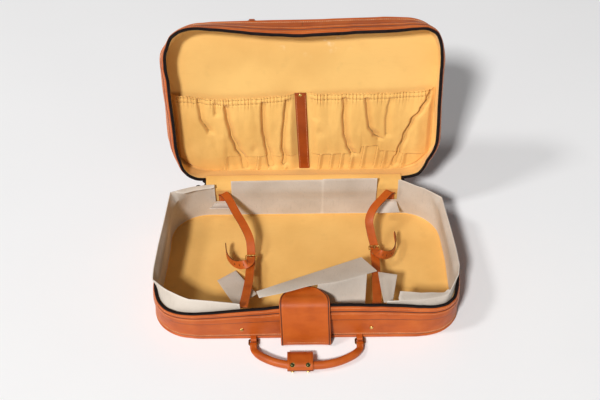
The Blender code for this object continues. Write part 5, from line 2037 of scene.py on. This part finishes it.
@dataclass(frozen=True)
class CarryHandle:
    """A rolled leather handle with its rings and the loops that hold them."""

    prefix: str
    pivot: Vector
    lift: float
    body: str
    shell: str
    turn: Matrix | None = None
    shell_turn: Matrix | None = None
    radius: float = 7.7 * MM
    end_x: float = 101 * MM
    reach: float = 66 * MM
    rise: float = 5 * MM
    end_half: float = 6.4 * MM
    end_thick: float = 1.3 * MM
    wire: float = 1.75 * MM
    ring_length: float = 12 * MM
    step: float = 2.6 * MM
    shares: tuple[Triple, ...] = (
        (1, 0.3, 0), (0.97, 0.46, 0.5), (0.84, 0.67, 1), (0.6, 0.865, 1), (0.35, 0.97, 1), (0.12, 1, 1),
    )

    @property
    def curl(self) -> float:
        """From the ring's wire to the middle of the leather round it."""
        return self.wire + 0.4 * MM + 1.2 * MM

    def build(self) -> None:
        """Makes the handle, both rings and both loops."""
        self.build_tube()
        for side, label in SIDES.items():
            centre = Vector((side * self.end_x, self.pivot.y, self.pivot.z))
            path = rounded_loop(centre, 8 * MM, -self.ring_length, 2.4 * MM)
            node = f"{self.prefix}_ring_{label}"
            draft = wire_loop(path, ring_of(12, self.wire))
            put(f"{node}_wire", draft, [Finish.AGED], self.body, [node], turn=self.turn)
            self.build_loop(centre, f"{self.prefix}_chape_{label}")

    def build_loop(self, centre: Vector, node: str) -> None:
        """The leather loop from the case round the ring's bar.

        Args:
            centre: The middle of the bar.
            node: Its solid.
        """
        bar = self.wire + 0.45 * MM + 1.0 * MM
        x, y, z = centre
        if self.prefix == "base":
            path = [Vector((x, y - bar * s, z + bar * c)) for c, s in arc(0.0, math.pi, 12)]
            path = [Vector((x, -171.6 * MM, z + bar)), *path, Vector((x, -172.9 * MM, z - bar))]
        else:
            top = RIM + LID.height + GAP
            path = [Vector((x, y + bar * c, z + bar * s)) for c, s in arc(0.0, math.pi, 12)]
            path = [Vector((x, y + bar, top)), *path, Vector((x, y - bar, top))]
        draft = leather_strip(path, [ACROSS] * len(path), lambda n: 5.6 * MM, 2 * MM, crown=0.1 * MM)
        finishes = [Finish.STRAP, Finish.EDGE]
        put(f"{node}_leather", draft, finishes, self.shell, [node], 0.35 * MM, turn=self.shell_turn)

    def rolled(self, number: int, count: int) -> float:
        """How far the grip is rolled up at a point of its route: 0 at its flat ends and 1 along the middle."""
        inside = min(number, count - 1 - number) * self.step
        return smooth((inside - 3 * MM) / (26 * MM))

    def build_tube(self) -> None:
        """The rolled grip, flattened into a tab round each ring."""
        pivot, curl = self.pivot, self.curl
        right = []
        for across, reach, rise in self.shares:
            above = curl + (self.rise - curl) * rise
            right.append(Vector((across * self.end_x, pivot.y - reach * self.reach, pivot.z + self.lift * above)))
        tube = [Vector((-p.x, p.y, p.z)) for p in right] + right[::-1]
        route = evenly(curve_through(tube, 10), self.step)
        bar_y = pivot.y - self.ring_length
        bends = [(curl * s, curl * c) for c, s in arc(0.0, math.pi, 10)] + [(-curl, -curl), (-2.2 * curl, -curl * 0.9)]
        hook = [Vector((self.end_x, bar_y + dy, pivot.z + self.lift * dz)) for dy, dz in bends]
        tail = [Vector((-p.x, p.y, p.z)) for p in hook[::-1]]
        path = tail + route + hook
        ends, count = len(tail), len(path)
        across = []
        for number in range(ends, count - ends):
            flat = heading(path, number)
            across.append(Vector((-flat.y, flat.x, 0.0)))
        across = [ACROSS] * ends + across + [-ACROSS] * ends

        def outline(number: int) -> list[Pair]:
            """The grip's section, from flat at its ends to round.

            Args:
                number: The point's number.

            Returns:
                Points of (across, up).
            """
            share = self.rolled(number - ends, len(route))
            half_width = self.end_half + (self.radius - self.end_half) * share
            half_thick = self.end_thick + (self.radius - self.end_thick) * share
            power = 0.55 + 0.45 * share
            round_points = [[math.copysign(abs(v) ** power, v) for v in point] for point in ring_of(20, 1.0)]
            return [(half_width * c, half_thick * s) for c, s in round_points]

        node = f"{self.prefix}_handle"
        draft = Draft().loft(carried(path, across, outline))
        put(f"{node}_leather", draft, [Finish.TAN], self.body, [node], turn=self.turn)
        self.build_stitches(route, node)

    def build_stitches(self, route: Sequence[Vector], node: str) -> None:
        """The seam along the inside of the grip, and stitches on its flat ends.

        Args:
            route: The grip's middle line.
            node: The handle's solid.
        """
        centre = Vector((0.0, self.pivot.y, self.pivot.z))
        line = []
        ways = []
        for number, point in enumerate(route):
            along = heading(route, number).normalized()
            way = Vector((-along.y, along.x, 0.0))
            way = way if way.dot(centre - point) > 0 else -way
            slanted = (way - UP * 0.55 * self.lift).normalized()
            if self.rolled(number, len(route)) > 0.8:
                line.append(point + slanted * (self.radius - 0.1 * MM))
                ways.append(slanted)
        draft = Draft().seam(line, ways, 2.6 * MM, 0.65 * MM)
        top = self.pivot.z + self.lift * (self.curl + self.end_thick)
        for side in (-1, 1):
            for across in (-1, 1):
                x = side * self.end_x + across * 3.9 * MM
                tab = [Vector((x, self.pivot.y - self.ring_length - (4.5 + 2.8 * n) * MM, top)) for n in range(5)]
                draft.seam(tab, UP * self.lift, 2.8 * MM, 0.6 * MM)
        put(f"{node}_stitches", draft, [Finish.THREAD], self.body, turn=self.turn)


@dataclass(frozen=True)
class GripWrap:
    """The leather wrapped round the grip, snapped shut in front of it."""

    tube_y: float = -246 * MM
    tube_z: float = 11 * MM
    left: float = -37 * MM
    right: float = 11 * MM
    thickness: float = 2.2 * MM
    inner: float = 8.2 * MM
    rear_reach: float = 31.5 * MM
    crease: float = 0.885

    @property
    def tube(self) -> Vector:
        """The middle of the grip."""
        return Vector((0.0, self.tube_y, self.tube_z))

    def around(self, radius: float, angle: float) -> Vector:
        """A place round the grip, with the angle from the top towards the front."""
        return self.tube + Vector((0.0, -radius * math.sin(angle), radius * math.cos(angle)))

    def layer(self, shares: Sequence[Pair], start: float, end: float, fold: Vector, below: float) -> Draft:
        """One layer, from the fold behind the grip to its free end, with a line creased near its edges.

        Args:
            shares: (back, rise) shares between the fold and the grip.
            start: Angle at which it meets the grip.
            end: Angle of the free end.
            fold: The fold's place.
            below: How far the layer starts below the fold.

        Returns:
            The layer's draft.
        """
        middle = self.inner + self.thickness / 2
        points = [fold - UP * below]
        for back, rise in shares:
            points.append(Vector((0.0, fold.y - self.rear_reach * back, self.tube.z + middle * rise)))
        path = curve_through(points, 5)[:-1]
        path += [self.around(middle, angle) for angle in spread(start, end, 14)]
        half, centre = (self.right - self.left) / 2, (self.right + self.left) / 2
        columns = (0.0, 0.3, 0.6, 0.87, self.crease, 0.9, 0.97, 1.0)
        columns = (*(-u for u in reversed(columns[1:])), *columns)
        grid = []
        for number, point in enumerate(path):
            up = ACROSS.cross(heading(path, number).normalized())
            left = len(path) - 1 - number
            size = half * (1.0 if left > 2 else (0.93, 0.98, 0.995)[left])
            row = []
            for u in columns:
                dent = 0.3 * MM if abs(u) == self.crease else 0.0
                row.append(Vector((centre + size * u, point.y, point.z)) - up * dent)
            grid.append(row)
        return Draft().slab(grid, self.thickness, rim=1)

    def build(self) -> None:
        """Makes both layers and their snaps."""
        fold = Vector((0.0, self.tube.y + self.rear_reach, self.tube.z - 1.5 * MM))
        below = self.thickness / 2 + GAP / 2
        finishes = [Finish.TAN, Finish.EDGE]
        lower = self.layer(((0.25, -0.86), (0.5, -1.0), (1.0, -1.0)), math.pi, math.radians(122), fold, below)
        put("wrap_lower_leather", lower, finishes, "base_handle", ["grip_wrap"], 0.4 * MM)
        upper = self.layer(((0.25, 0.55), (0.5, 0.86), (1.0, 1.0)), 0.0, math.radians(98), fold, -below)
        put("wrap_upper_leather", upper, finishes, "grip_wrap_flap", ["grip_wrap_flap"], 0.4 * MM)
        outer = self.inner + self.thickness + 0.1 * MM
        cap = ((3.4, 0.0), (4.4, 0.1), (4.5, 0.8), (4.1, 1.25), (3.5, 1.15), (3.2, 0.9), (2.6, 1.3), (1.4, 1.75))
        stud = ((2.6, 0.0), (3.4, 0.2), (3.4, 1.0), (2.7, 1.5), (1.4, 1.6))
        snaps = (
            ("snap_cap", "grip_wrap_flap", math.radians(32), cap, [Finish.BRONZE, Finish.BRASS], 4),
            ("snap_stud", "base_handle", math.radians(132), stud, [Finish.BRASS], 0),
        )
        for x, label in ((self.left + 9.5 * MM, "left"), (self.right - 9.5 * MM, "right")):
            for name, body, angle, profile, finishes, trim in snaps:
                place = self.around(outer, angle) + ACROSS * x
                way = self.around(1.0, angle) - self.tube
                node = f"{name}_{label}"
                turned(f"{node}_button", place, way, profile, finishes, body, [node], trim)


# --- the lid's pockets


@dataclass(frozen=True)
class Fold:
    """One crease down the pocket cloth, from keys of (height, x) with the highest first."""

    keys: Keys
    depth: float
    left: float = 3.4 * MM
    right: float = 9.5 * MM
    fade: float = 6 * MM

    def dip(self, x: float, v: float) -> float:
        """How far the cloth dips at a place.

        Args:
            x: The place along the lid.
            v: The height up the lid.

        Returns:
            The depth.
        """
        low, high = self.keys[-1][0] - self.fade, self.keys[0][0] + self.fade
        if v < low or v > high:
            return 0.0
        strength = smooth((v - low) / (2 * self.fade)) * smooth((high - v) / (2 * self.fade))
        away = x - keyed(v, self.keys[::-1])
        return 1.9 * self.depth * strength * bell(away, self.left if away < 0 else self.right)


@dataclass(frozen=True)
class LidPocket:
    """A gathered cloth pocket on the lid's lining."""

    side: int
    top: Keys
    casing: Keys
    tuck: Keys
    folds: tuple[Fold, ...]
    pleats: tuple[float, ...]
    hollow: Pair
    foot: float = 7.0 * MM
    cloth: float = 1.3 * MM
    strap_x: float = -3 * MM
    strap_slant: float = 7 * MM
    seat: float = 8.1 * MM
    casing_width: float = 9.4 * MM

    def inner_edge(self, v: float) -> float:
        """Where the cloth ends under the middle strap."""
        share = (v - self.foot) / (172 * MM)
        return self.strap_x + self.strap_slant * (1 - share) + self.side * 1.0 * MM

    def outer_edge(self, v: float) -> float:
        """Where the cloth is sewn at its outer side, following the lid's round corner.

        Args:
            v: The height up the lid.

        Returns:
            The place along the lid.
        """
        y = OUTLINE.half_depth - v
        beyond = max(0.0, y - OUTLINE.corner_y)
        round_edge = OUTLINE.corner_x + math.sqrt(max(0.0, (82.5 * MM) ** 2 - beyond**2))
        widen = 6 * MM * smooth((v - 120 * MM) / (60 * MM))
        return self.side * min(270 * MM + widen / 3, round_edge)

    def height(self, x: float, v: float, top: float) -> float:
        """How far the cloth stands off the lid's lining.

        Args:
            x: The place along the lid.
            v: The height up the lid.
            top: Where the cloth ends there.

        Returns:
            The distance.
        """
        inner, outer = self.inner_edge(v), self.outer_edge(v)
        near_inner = abs(x - inner) - 9 * MM
        near_outer = abs(outer - x)
        ramp = smooth(near_inner / (20 * MM)) * smooth(near_outer / (13 * MM))
        tuck = keyed(x, self.tuck)
        share = (v - self.foot) / (top - self.foot)
        rise = 8.2 * MM * math.sqrt(min(1.0, 0.3 + max(0.0, share) * 3.6))
        belly = 4.6 * MM * math.sin(math.pi * min(1.0, max(0.0, (v - tuck) / (top - tuck)))) ** 0.6 if v > tuck else 0.0
        dips = sum(fold.dip(x, v) for fold in self.folds)
        hollow_x, hollow_v = self.hollow
        dips += 3.2 * MM * bell(x - hollow_x, 9 * MM) * bell(v - hollow_v, 11 * MM)
        seam_high = keyed(x, self.casing) + 7.0 * MM
        seam_low = seam_high - self.casing_width
        gather = self.gathers(x, v, seam_low)
        sewn = 1.8 * MM * (bell(v - seam_high, 1.3 * MM) + bell(v - seam_low, 1.3 * MM))
        overhang = 0.0
        if v < tuck:
            overhang = -1.8 * MM * smooth((tuck - v) / (1.4 * MM)) * smooth((v - self.foot) / (14 * MM))
            for pleat in self.pleats:
                away = x - pleat - 0.12 * (v - self.foot)
                overhang += 3.0 * MM * smooth(away / (0.9 * MM)) * smooth((9 * MM - away) / (8 * MM))
        else:
            overhang = 0.9 * MM * bell(v - tuck, 3.0 * MM)
        soft = 3.4 * MM * noise.noise(Vector((x * 40, v * 9, 7.0)))
        soft += 0.7 * MM * noise.noise(Vector((x * 85, v * 50, 2.0)))
        total = rise + belly + gather + overhang + soft - sewn - dips
        return max(0.25 * MM, total) * ramp + 0.5 * MM

    def gathers(self, x: float, v: float, seam_low: float) -> float:
        """Small puckers along the elastic casing, which fade out below it.

        Args:
            x: The place along the lid.
            v: The height up the lid.
            seam_low: The casing's lower seam.

        Returns:
            What they add to the cloth's height.
        """
        wander = noise.noise(Vector((x * 30, 0.0, 11.0 + self.side)))
        phase = TURN * x / (7.4 * MM) + 6.5 * wander
        size = 0.68 + 0.75 * noise.noise(Vector((x * 41, 4.0 + 30 * max(0.0, seam_low - v), 1.0)))
        if v > seam_low:
            strength = 2.3 * MM
        else:
            strength = 1.9 * MM * bell(seam_low - v, 10 * MM)
        ridge = 1 - abs(math.sin(phase / 2)) ** 0.7
        return strength * size * (0.9 - 1.3 * ridge + 0.2 * math.sin(1.7 * phase + 1.0))

    def place(self, x: float, v: float, lift: float) -> Vector:
        """A place on the lid's inside."""
        return LID.level(x, OUTLINE.half_depth - v, self.seat + lift)

    def build(self) -> None:
        """Makes the pocket and its stitches."""
        columns, rows = 300, 110
        grid = []
        for share in spread(0.0, 1.0, rows):
            guess = self.foot + (180 * MM - self.foot) * share
            inner, outer = self.inner_edge(guess), self.outer_edge(guess)
            line = []
            for u in spread(0.0, 1.0, columns):
                x = inner + (outer - inner) * u
                top = keyed(x, self.top) + 3.5 * MM + 0.7 * MM * math.sin(TURN * x / (6.6 * MM))
                v = self.foot + (top - self.foot) * share
                x = self.inner_edge(v) + (self.outer_edge(v) - self.inner_edge(v)) * u
                line.append(self.place(x, v, self.cloth / 2 + self.height(x, v, top)))
            grid.append(line)
        node = f"pocket_{SIDES[self.side]}"
        piece = put(f"{node}_cloth", Draft().slab(grid, self.cloth), [Finish.LINING], "lid", [node])
        self.build_stitches(node)

    def build_stitches(self, node: str) -> None:
        """The rows of stitches along the casing.

        Args:
            node: The pocket's solid.
        """
        draft = Draft()
        inner = self.inner_edge(170 * MM)
        width = abs(self.outer_edge(170 * MM) - inner) - 14 * MM
        count = round(width / (3.2 * MM))
        places = [inner + self.side * away for away in spread(11 * MM, 11 * MM + width, count)]
        for drop in (0.0, self.casing_width):
            line = []
            for x in places:
                v = keyed(x, self.casing) + 7.0 * MM - drop
                top = keyed(x, self.top) + 3.5 * MM
                line.append(self.place(x, v, self.cloth + self.height(x, v, top)))
            draft.seam(line, LID.inward, 3.2 * MM, 0.55 * MM)
        put(f"{node}_stitches", draft, [Finish.COTTON_THREAD], "lid")


@dataclass(frozen=True)
class PocketStrap:
    """The leather strip sewn down between the pockets, with its rivet."""

    top: Triple = (-17.6 * MM, 6.1 * MM, 186.6 * MM)
    foot: Triple = (-8.6 * MM, 13.4 * MM, 7.0 * MM)
    seat: float = 10.2 * MM
    thickness: float = 1.9 * MM

    def at(self, share: float) -> tuple[float, float, float, float]:
        """Its left and right edge, its place up the lid and how far it is lifted, at a share of its length."""
        left, right, v = (low + (high - low) * share for low, high in zip(self.foot, self.top))
        return left, right, v, 0.9 * MM * math.sin(math.pi * share) + 0.5 * MM * math.sin(share * 14.0)

    def build(self) -> None:
        """Makes the strip, its stitches and its rivet."""
        grid = []
        for share in spread(0.0, 1.0, 60):
            left, right, v, lift = self.at(share)
            line = []
            for u in (-1.0, -0.95, -0.7, -0.35, 0.0, 0.35, 0.7, 0.95, 1.0):
                x = (left + right) / 2 + (right - left) / 2 * u
                rise = self.seat + self.thickness / 2 + lift - 0.4 * MM * u**4
                line.append(LID.level(x, OUTLINE.half_depth - v, rise))
            grid.append(line)
        draft = Draft().slab(grid, self.thickness, rim=1)
        # The strip takes the darker copy of the strap leather: painted shade.
        put("pocket_strap_leather", draft, [Finish.SHADED_STRAP, Finish.EDGE], "lid", ["pocket_strap"], 0.35 * MM)
        self.build_stitches()
        profile = ((2.6, 0.0), (3.6, 0.1), (3.8, 0.7), (3.4, 1.4), (2.4, 1.9), (1.2, 2.1))
        centre = LID.level(-6.2 * MM, OUTLINE.half_depth - 181.5 * MM, self.seat + self.thickness - 0.1 * MM)
        turned("pocket_rivet_head", centre, LID.inward, profile, [Finish.BRASS], "lid", ["pocket_rivet"])

    def build_stitches(self) -> None:
        """A row of stitches near each edge."""
        draft = Draft()
        for edge, inset in ((0, 2.4 * MM), (1, -2.4 * MM)):
            line = []
            for share in spread(0.03, 0.97, 47):
                place = self.at(share)
                rise = self.seat + self.thickness + (place[3] - 0.15 * MM)
                line.append(LID.level(place[edge] + inset, OUTLINE.half_depth - place[2], rise))
            draft.seam(line, LID.inward)
        put("pocket_strap_stitches", draft, [Finish.THREAD], "lid")


# --- zip sliders


@dataclass(frozen=True)
class ZipSlider:
    """A slider on the zip's rear corner, with its pull tab."""

    side: int
    angle: float = math.radians(75.0)
    length: float = 10 * MM

    def spot(self, shift: float, out: float, rise: float) -> Vector:
        """A place along the corner from the slider's middle."""
        stop = OUTLINE.on_corner(self.angle + shift / OUTLINE.corner, OUTLINE.corner_y, self.side, 0.0)
        return Vector((stop.x + stop.nx * out, stop.y + stop.ny * out, rise))

    def build(self) -> None:
        """Makes the slider's body, its bridge and the pull."""
        half = self.length / 2
        rows = []
        for share in (-1.0, -0.8, -0.4, 0.0, 0.4, 0.8, 1.0):
            slim = 0.9 * abs(share) ** 3
            low = ((-6.6, 86.2 + slim), (-3.4, 86.0 + slim), (-1.6 - slim, 87.0 + slim), (-1.2 - slim, 89.2))
            high = ((-1.6 - slim, 91.2 - slim), (-3.4, 92.3 - slim), (-6.6, 92.1 - slim))
            rows.append([self.spot(share * half, out * MM, rise * MM) for out, rise in low + high])
        label = SIDES[self.side]
        body = f"zip_slider_{label}"
        put(f"{body}_body", Draft().loft(rows), [Finish.TEETH], body, [body], 0.5 * MM)
        bends = ((-0.7, -1.8), (-0.6, -0.4), (-0.3, 0.4), (0.3, 0.4), (0.6, -0.4), (0.7, -1.8))
        path = curve_through([self.spot(share * half, out * MM, 88.2 * MM) for share, out in bends], 4)
        outline = rounded_bar(1.3 * MM, 0.45 * MM)
        bridge = Draft().loft(carried(path, [UP] * len(path), lambda n: outline))
        put(f"{body}_bridge", bridge, [Finish.AGED], body)
        self.build_pull(f"zip_pull_{label}")

    def build_pull(self, body: str) -> None:
        """The pull tab, with its eye and a slot near its end.

        Args:
            body: Name of its body and its solid.
        """
        head = self.spot(0.0, -1.7 * MM, 85.8 * MM)
        stop = OUTLINE.on_corner(self.angle, OUTLINE.corner_y, self.side, 0.0)
        along = Vector((-stop.ny, stop.nx, 0.0)).normalized()
        length, wide = 26 * MM, 3.5 * MM
        middle, eye, slot = range(2, 5), range(2, 6), range(21, 24)
        grid = []
        for run in spread(0.0, length, 27):
            end = min(run, length - run) / (2.6 * MM)
            half = wide * (math.sqrt(max(0.12, 1 - (1 - min(1.0, end)) ** 2))) * (0.86 + 0.14 * run / length)
            grid.append([head + along * half * u - UP * run for u in (-1.0, -0.8, -0.45, -0.2, 0.2, 0.45, 0.8, 1.0)])

        def keep(row: int, column: int) -> bool:
            """Leaves out the eye and the slot."""
            return not (column in middle and (row in eye or row in slot))

        put(f"{body}_tab", Draft().slab(grid, 1.4 * MM, keep), [Finish.AGED], body, [body], 0.3 * MM)


# --- studio


@dataclass(frozen=True)
class Studio:
    """The plain floor, soft light and the camera."""

    place: Triple = (-25.2 * MM, -1356.5 * MM, 1458.6 * MM)
    elevation: float = math.radians(42.83)
    azimuth: float = math.radians(-0.65)
    roll: float = math.radians(-0.154)
    focal: float = 58.27
    pale: Triple = (0.935, 0.93, 0.93)

    def build(self) -> None:
        """Sets the camera, the lights, the floor and the view."""
        scene = bpy.context.scene
        scene.view_settings.view_transform = "Standard"
        camera = bpy.data.objects.new("camera", bpy.data.cameras.new("camera"))
        scene.collection.objects.link(camera)
        camera.data.sensor_width = 36.0
        camera.data.lens = self.focal
        camera.data.clip_end = 50.0
        turn = Matrix.Rotation(self.azimuth, 4, "Z") @ Matrix.Rotation(math.pi / 2 - self.elevation, 4, "X")
        camera.matrix_world = Matrix.Translation(self.place) @ turn @ Matrix.Rotation(self.roll, 4, "Z")
        scene.camera = camera
        self.add_light("key", (-4.4, -10.6, 10.0), 1.7, 2230.0)
        self.add_light("side", (-8.3, -2.6, 10.3), 1.8, 425.0)
        self.build_world()
        self.build_floor()

    def add_light(self, name: str, place: Triple, size: float, power: float) -> None:
        """Adds one large soft light that faces the case.

        Args:
            name: Its name.
            place: Where it is.
            size: Its width.
            power: Its watts.
        """
        light = bpy.data.lights.new(name, "AREA")
        light.shape = "SQUARE"
        light.size = size
        light.energy = power
        lamp = bpy.data.objects.new(name, light)
        bpy.context.scene.collection.objects.link(lamp)
        away = Vector((0.0, 0.0, 0.1)) - Vector(place)
        lamp.rotation_euler = away.to_track_quat("-Z", "Y").to_euler()
        lamp.location = place

    def build_world(self) -> None:
        """Plain white surroundings, seen by the camera and, less bright, in metal."""
        world = bpy.data.worlds.new("studio")
        world.use_nodes = True
        bpy.context.scene.world = world
        nodes = Nodes(world.node_tree)
        shine = nodes.combine("MULTIPLY", nodes.node("LightPath", {}, "Is Glossy Ray"), 0.45)
        seen = nodes.node("LightPath", {}, "Is Camera Ray")
        shown = nodes.combine("MAXIMUM", seen, shine, use_clamp=True)
        back = world.node_tree.nodes["Background"]
        nodes.feed(back.inputs["Color"], (1.0, 1.0, 1.0, 1.0))
        nodes.feed(back.inputs["Strength"], nodes.between(shown, 0.0, 1.0, 0.11, 0.9))

    def build_floor(self) -> None:
        """A wide pale floor that keeps the case's shadow."""
        recipe = Recipe("studio_floor")
        dim = tuple(c * 0.985 for c in self.pale)
        grey = recipe.tones(recipe.cloud(3.0, 2.0), (0.3, dim), (0.7, self.pale))
        recipe.surface({"Base Color": grey, "Roughness": 0.9})
        build = bmesh.new()
        bmesh.ops.create_grid(build, x_segments=8, y_segments=8, size=30.0)
        mesh = bpy.data.meshes.new("studio_floor")
        build.to_mesh(mesh)
        build.free()
        mesh.materials.append(recipe.material)
        floor = bpy.data.objects.new("studio_floor", mesh)
        bpy.context.scene.collection.objects.link(floor)
        floor.location.z = -0.2 * MM


# --- all of it


def tie_straps() -> list[TieStrap]:
    """Both pairs of straps inside the base.

    Returns:
        The left and the right one.
    """
    left = TieStrap(
        -1,
        (-0.5475, 0.0232, 0.3667),
        ((-0.5945, -0.905, 0.8), (-0.5873, -0.8, 0.74), (-0.5742, -0.61, 0.61), (-0.5583, -0.36, 0.48)),
        (
            (-0.8555, 0.895, 0.86), (-0.8265, 0.855, 0.91), (-0.7758, 0.76, 0.88), (-0.7061, 0.6, 0.79),
            (-0.6235, 0.43, 0.69), (-0.5626, 0.29, 0.52),
        ),
        (
            (-0.5524, -0.045, 0.455), (-0.5684, -0.095, 0.5), (-0.6119, -0.11, 0.49), (-0.667, -0.08, 0.42),
            (-0.7322, 0.0, 0.34), (-0.7903, 0.12, 0.33), (-0.812, 0.29, 0.36),
        ),
    )
    right = TieStrap(
        1,
        (0.7101, 0.1391, 0.4),
        ((0.6597, -0.905, 0.8), (0.6728, -0.77, 0.73), (0.6873, -0.52, 0.61), (0.7018, -0.24, 0.5)),
        (
            (0.9164, 0.895, 0.87), (0.8874, 0.855, 0.93), (0.8265, 0.76, 0.93), (0.725, 0.62, 0.87),
            (0.6699, 0.49, 0.74), (0.6815, 0.38, 0.56),
        ),
        (
            (0.7163, 0.075, 0.5), (0.7366, 0.025, 0.54), (0.7801, 0.012, 0.52), (0.8337, 0.045, 0.44),
            (0.899, 0.14, 0.35), (0.9396, 0.29, 0.33), (0.9353, 0.45, 0.37),
        ),
    )
    return [left, right]


def handles() -> list[CarryHandle]:
    """The base's handle as it lies, and the lid's as it hangs.

    Returns:
        The base's and the lid's.
    """
    base = CarryHandle("base", Vector((0.0, -180 * MM, 6 * MM)), 1.0, "base_handle", "case_base")
    pivot = Vector((0.0, -164 * MM, 156 * MM))
    hang = Matrix.Translation(pivot) @ Matrix.Rotation(math.radians(-169.0), 4, "X") @ Matrix.Translation(-pivot)
    lid = CarryHandle("lid", pivot, -1.0, "lid_handle", "lid", LID_OPEN @ hang, LID_OPEN)
    return [base, lid]


def lid_pockets() -> list[LidPocket]:
    """Both pockets with the folds of their cloth.

    Returns:
        The left and the right one.
    """
    left = LidPocket(
        -1,
        ((-0.29, 0.183), (-0.264, 0.182), (-0.171, 0.174), (-0.1, 0.1755), (-0.027, 0.182), (0.0, 0.184)),
        ((-0.29, 0.1755), (-0.264, 0.1745), (-0.171, 0.1665), (-0.1, 0.168), (-0.027, 0.1755), (0.0, 0.177)),
        ((-0.27, 0.008), (-0.172, 0.008), (-0.16, 0.0425), (0.0, 0.0435)),
        (
            Fold(((0.178, -0.216), (0.135, -0.2127), (0.1, -0.198)), 4.5 * MM),
            Fold(((0.17, -0.183), (0.14, -0.182)), 3.0 * MM),
            Fold(
                (
                    (0.162, -0.1614), (0.136, -0.159), (0.0935, -0.152), (0.0605, -0.142), (0.0349, -0.129),
                    (0.009, -0.1264),
                ),
                6.5 * MM,
            ),
            Fold(
                (
                    (0.1677, -0.084), (0.136, -0.0848), (0.1049, -0.0843), (0.071, -0.0797), (0.0434, -0.0747),
                    (0.0135, -0.0714),
                ),
                6.0 * MM,
            ),
            Fold(
                (
                    (0.1734, -0.035), (0.136, -0.0386), (0.0935, -0.0428), (0.0605, -0.0444), (0.039, -0.0398),
                    (0.019, -0.0423),
                ),
                6.0 * MM,
            ),
        ),
        (-0.235, -0.205, -0.17, -0.128, -0.1, -0.0743, -0.0415),
        (-0.103, 0.058),
    )
    right = LidPocket(
        1,
        ((-0.01, 0.184), (0.027, 0.183), (0.159, 0.184), (0.22, 0.1875), (0.273, 0.193), (0.29, 0.193)),
        ((-0.01, 0.177), (0.027, 0.1763), (0.159, 0.1775), (0.22, 0.1805), (0.273, 0.186), (0.29, 0.186)),
        (
            (0.0, 0.046), (0.119, 0.0475), (0.1235, 0.064), (0.157, 0.0667), (0.164, 0.053), (0.2, 0.0525),
            (0.21, 0.046), (0.27, 0.046),
        ),
        (
            Fold(((0.1738, 0.0168), (0.1498, 0.0176), (0.128, 0.0215)), 2.5 * MM),
            Fold(
                (
                    (0.176, 0.0827), (0.1607, 0.0854), (0.1345, 0.0834), (0.0953, 0.0861), (0.0647, 0.0934),
                    (0.0429, 0.1028),
                ),
                6.0 * MM,
            ),
            Fold(((0.176, 0.1294), (0.1432, 0.133), (0.1106, 0.1375), (0.0888, 0.1487), (0.0822, 0.158)), 6.0 * MM),
            Fold(((0.176, 0.1791), (0.1498, 0.175), (0.128, 0.1728), (0.0888, 0.1743)), 3.2 * MM),
            Fold(
                (
                    (0.1912, 0.2603), (0.176, 0.2555), (0.1519, 0.2427), (0.1258, 0.2251), (0.0888, 0.2114),
                    (0.0539, 0.2013), (0.0234, 0.1933), (0.0124, 0.1903),
                ),
                7.5 * MM,
                2.6 * MM,
                6.5 * MM,
            ),
        ),
        (0.031, 0.055, 0.076, 0.098, 0.122, 0.15, 0.167, 0.19, 0.208),
        (0.034, 0.0996),
    )
    return [left, right]


def main() -> None:
    """Builds every part of the case in order."""
    logging.basicConfig(level=logging.INFO, format="%(message)s")
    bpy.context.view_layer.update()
    Studio().build()
    BASE.build()
    LID.build()
    HingeSide().build()
    build_cards()
    for strap in tie_straps():
        strap.build()
    FrontFlap().build()
    for handle in handles():
        handle.build()
    GripWrap().build()
    for pocket in lid_pockets():
        pocket.build()
    PocketStrap().build()
    for side in (-1, 1):
        ZipSlider(side).build()


if __name__ == "__main__":
    main()
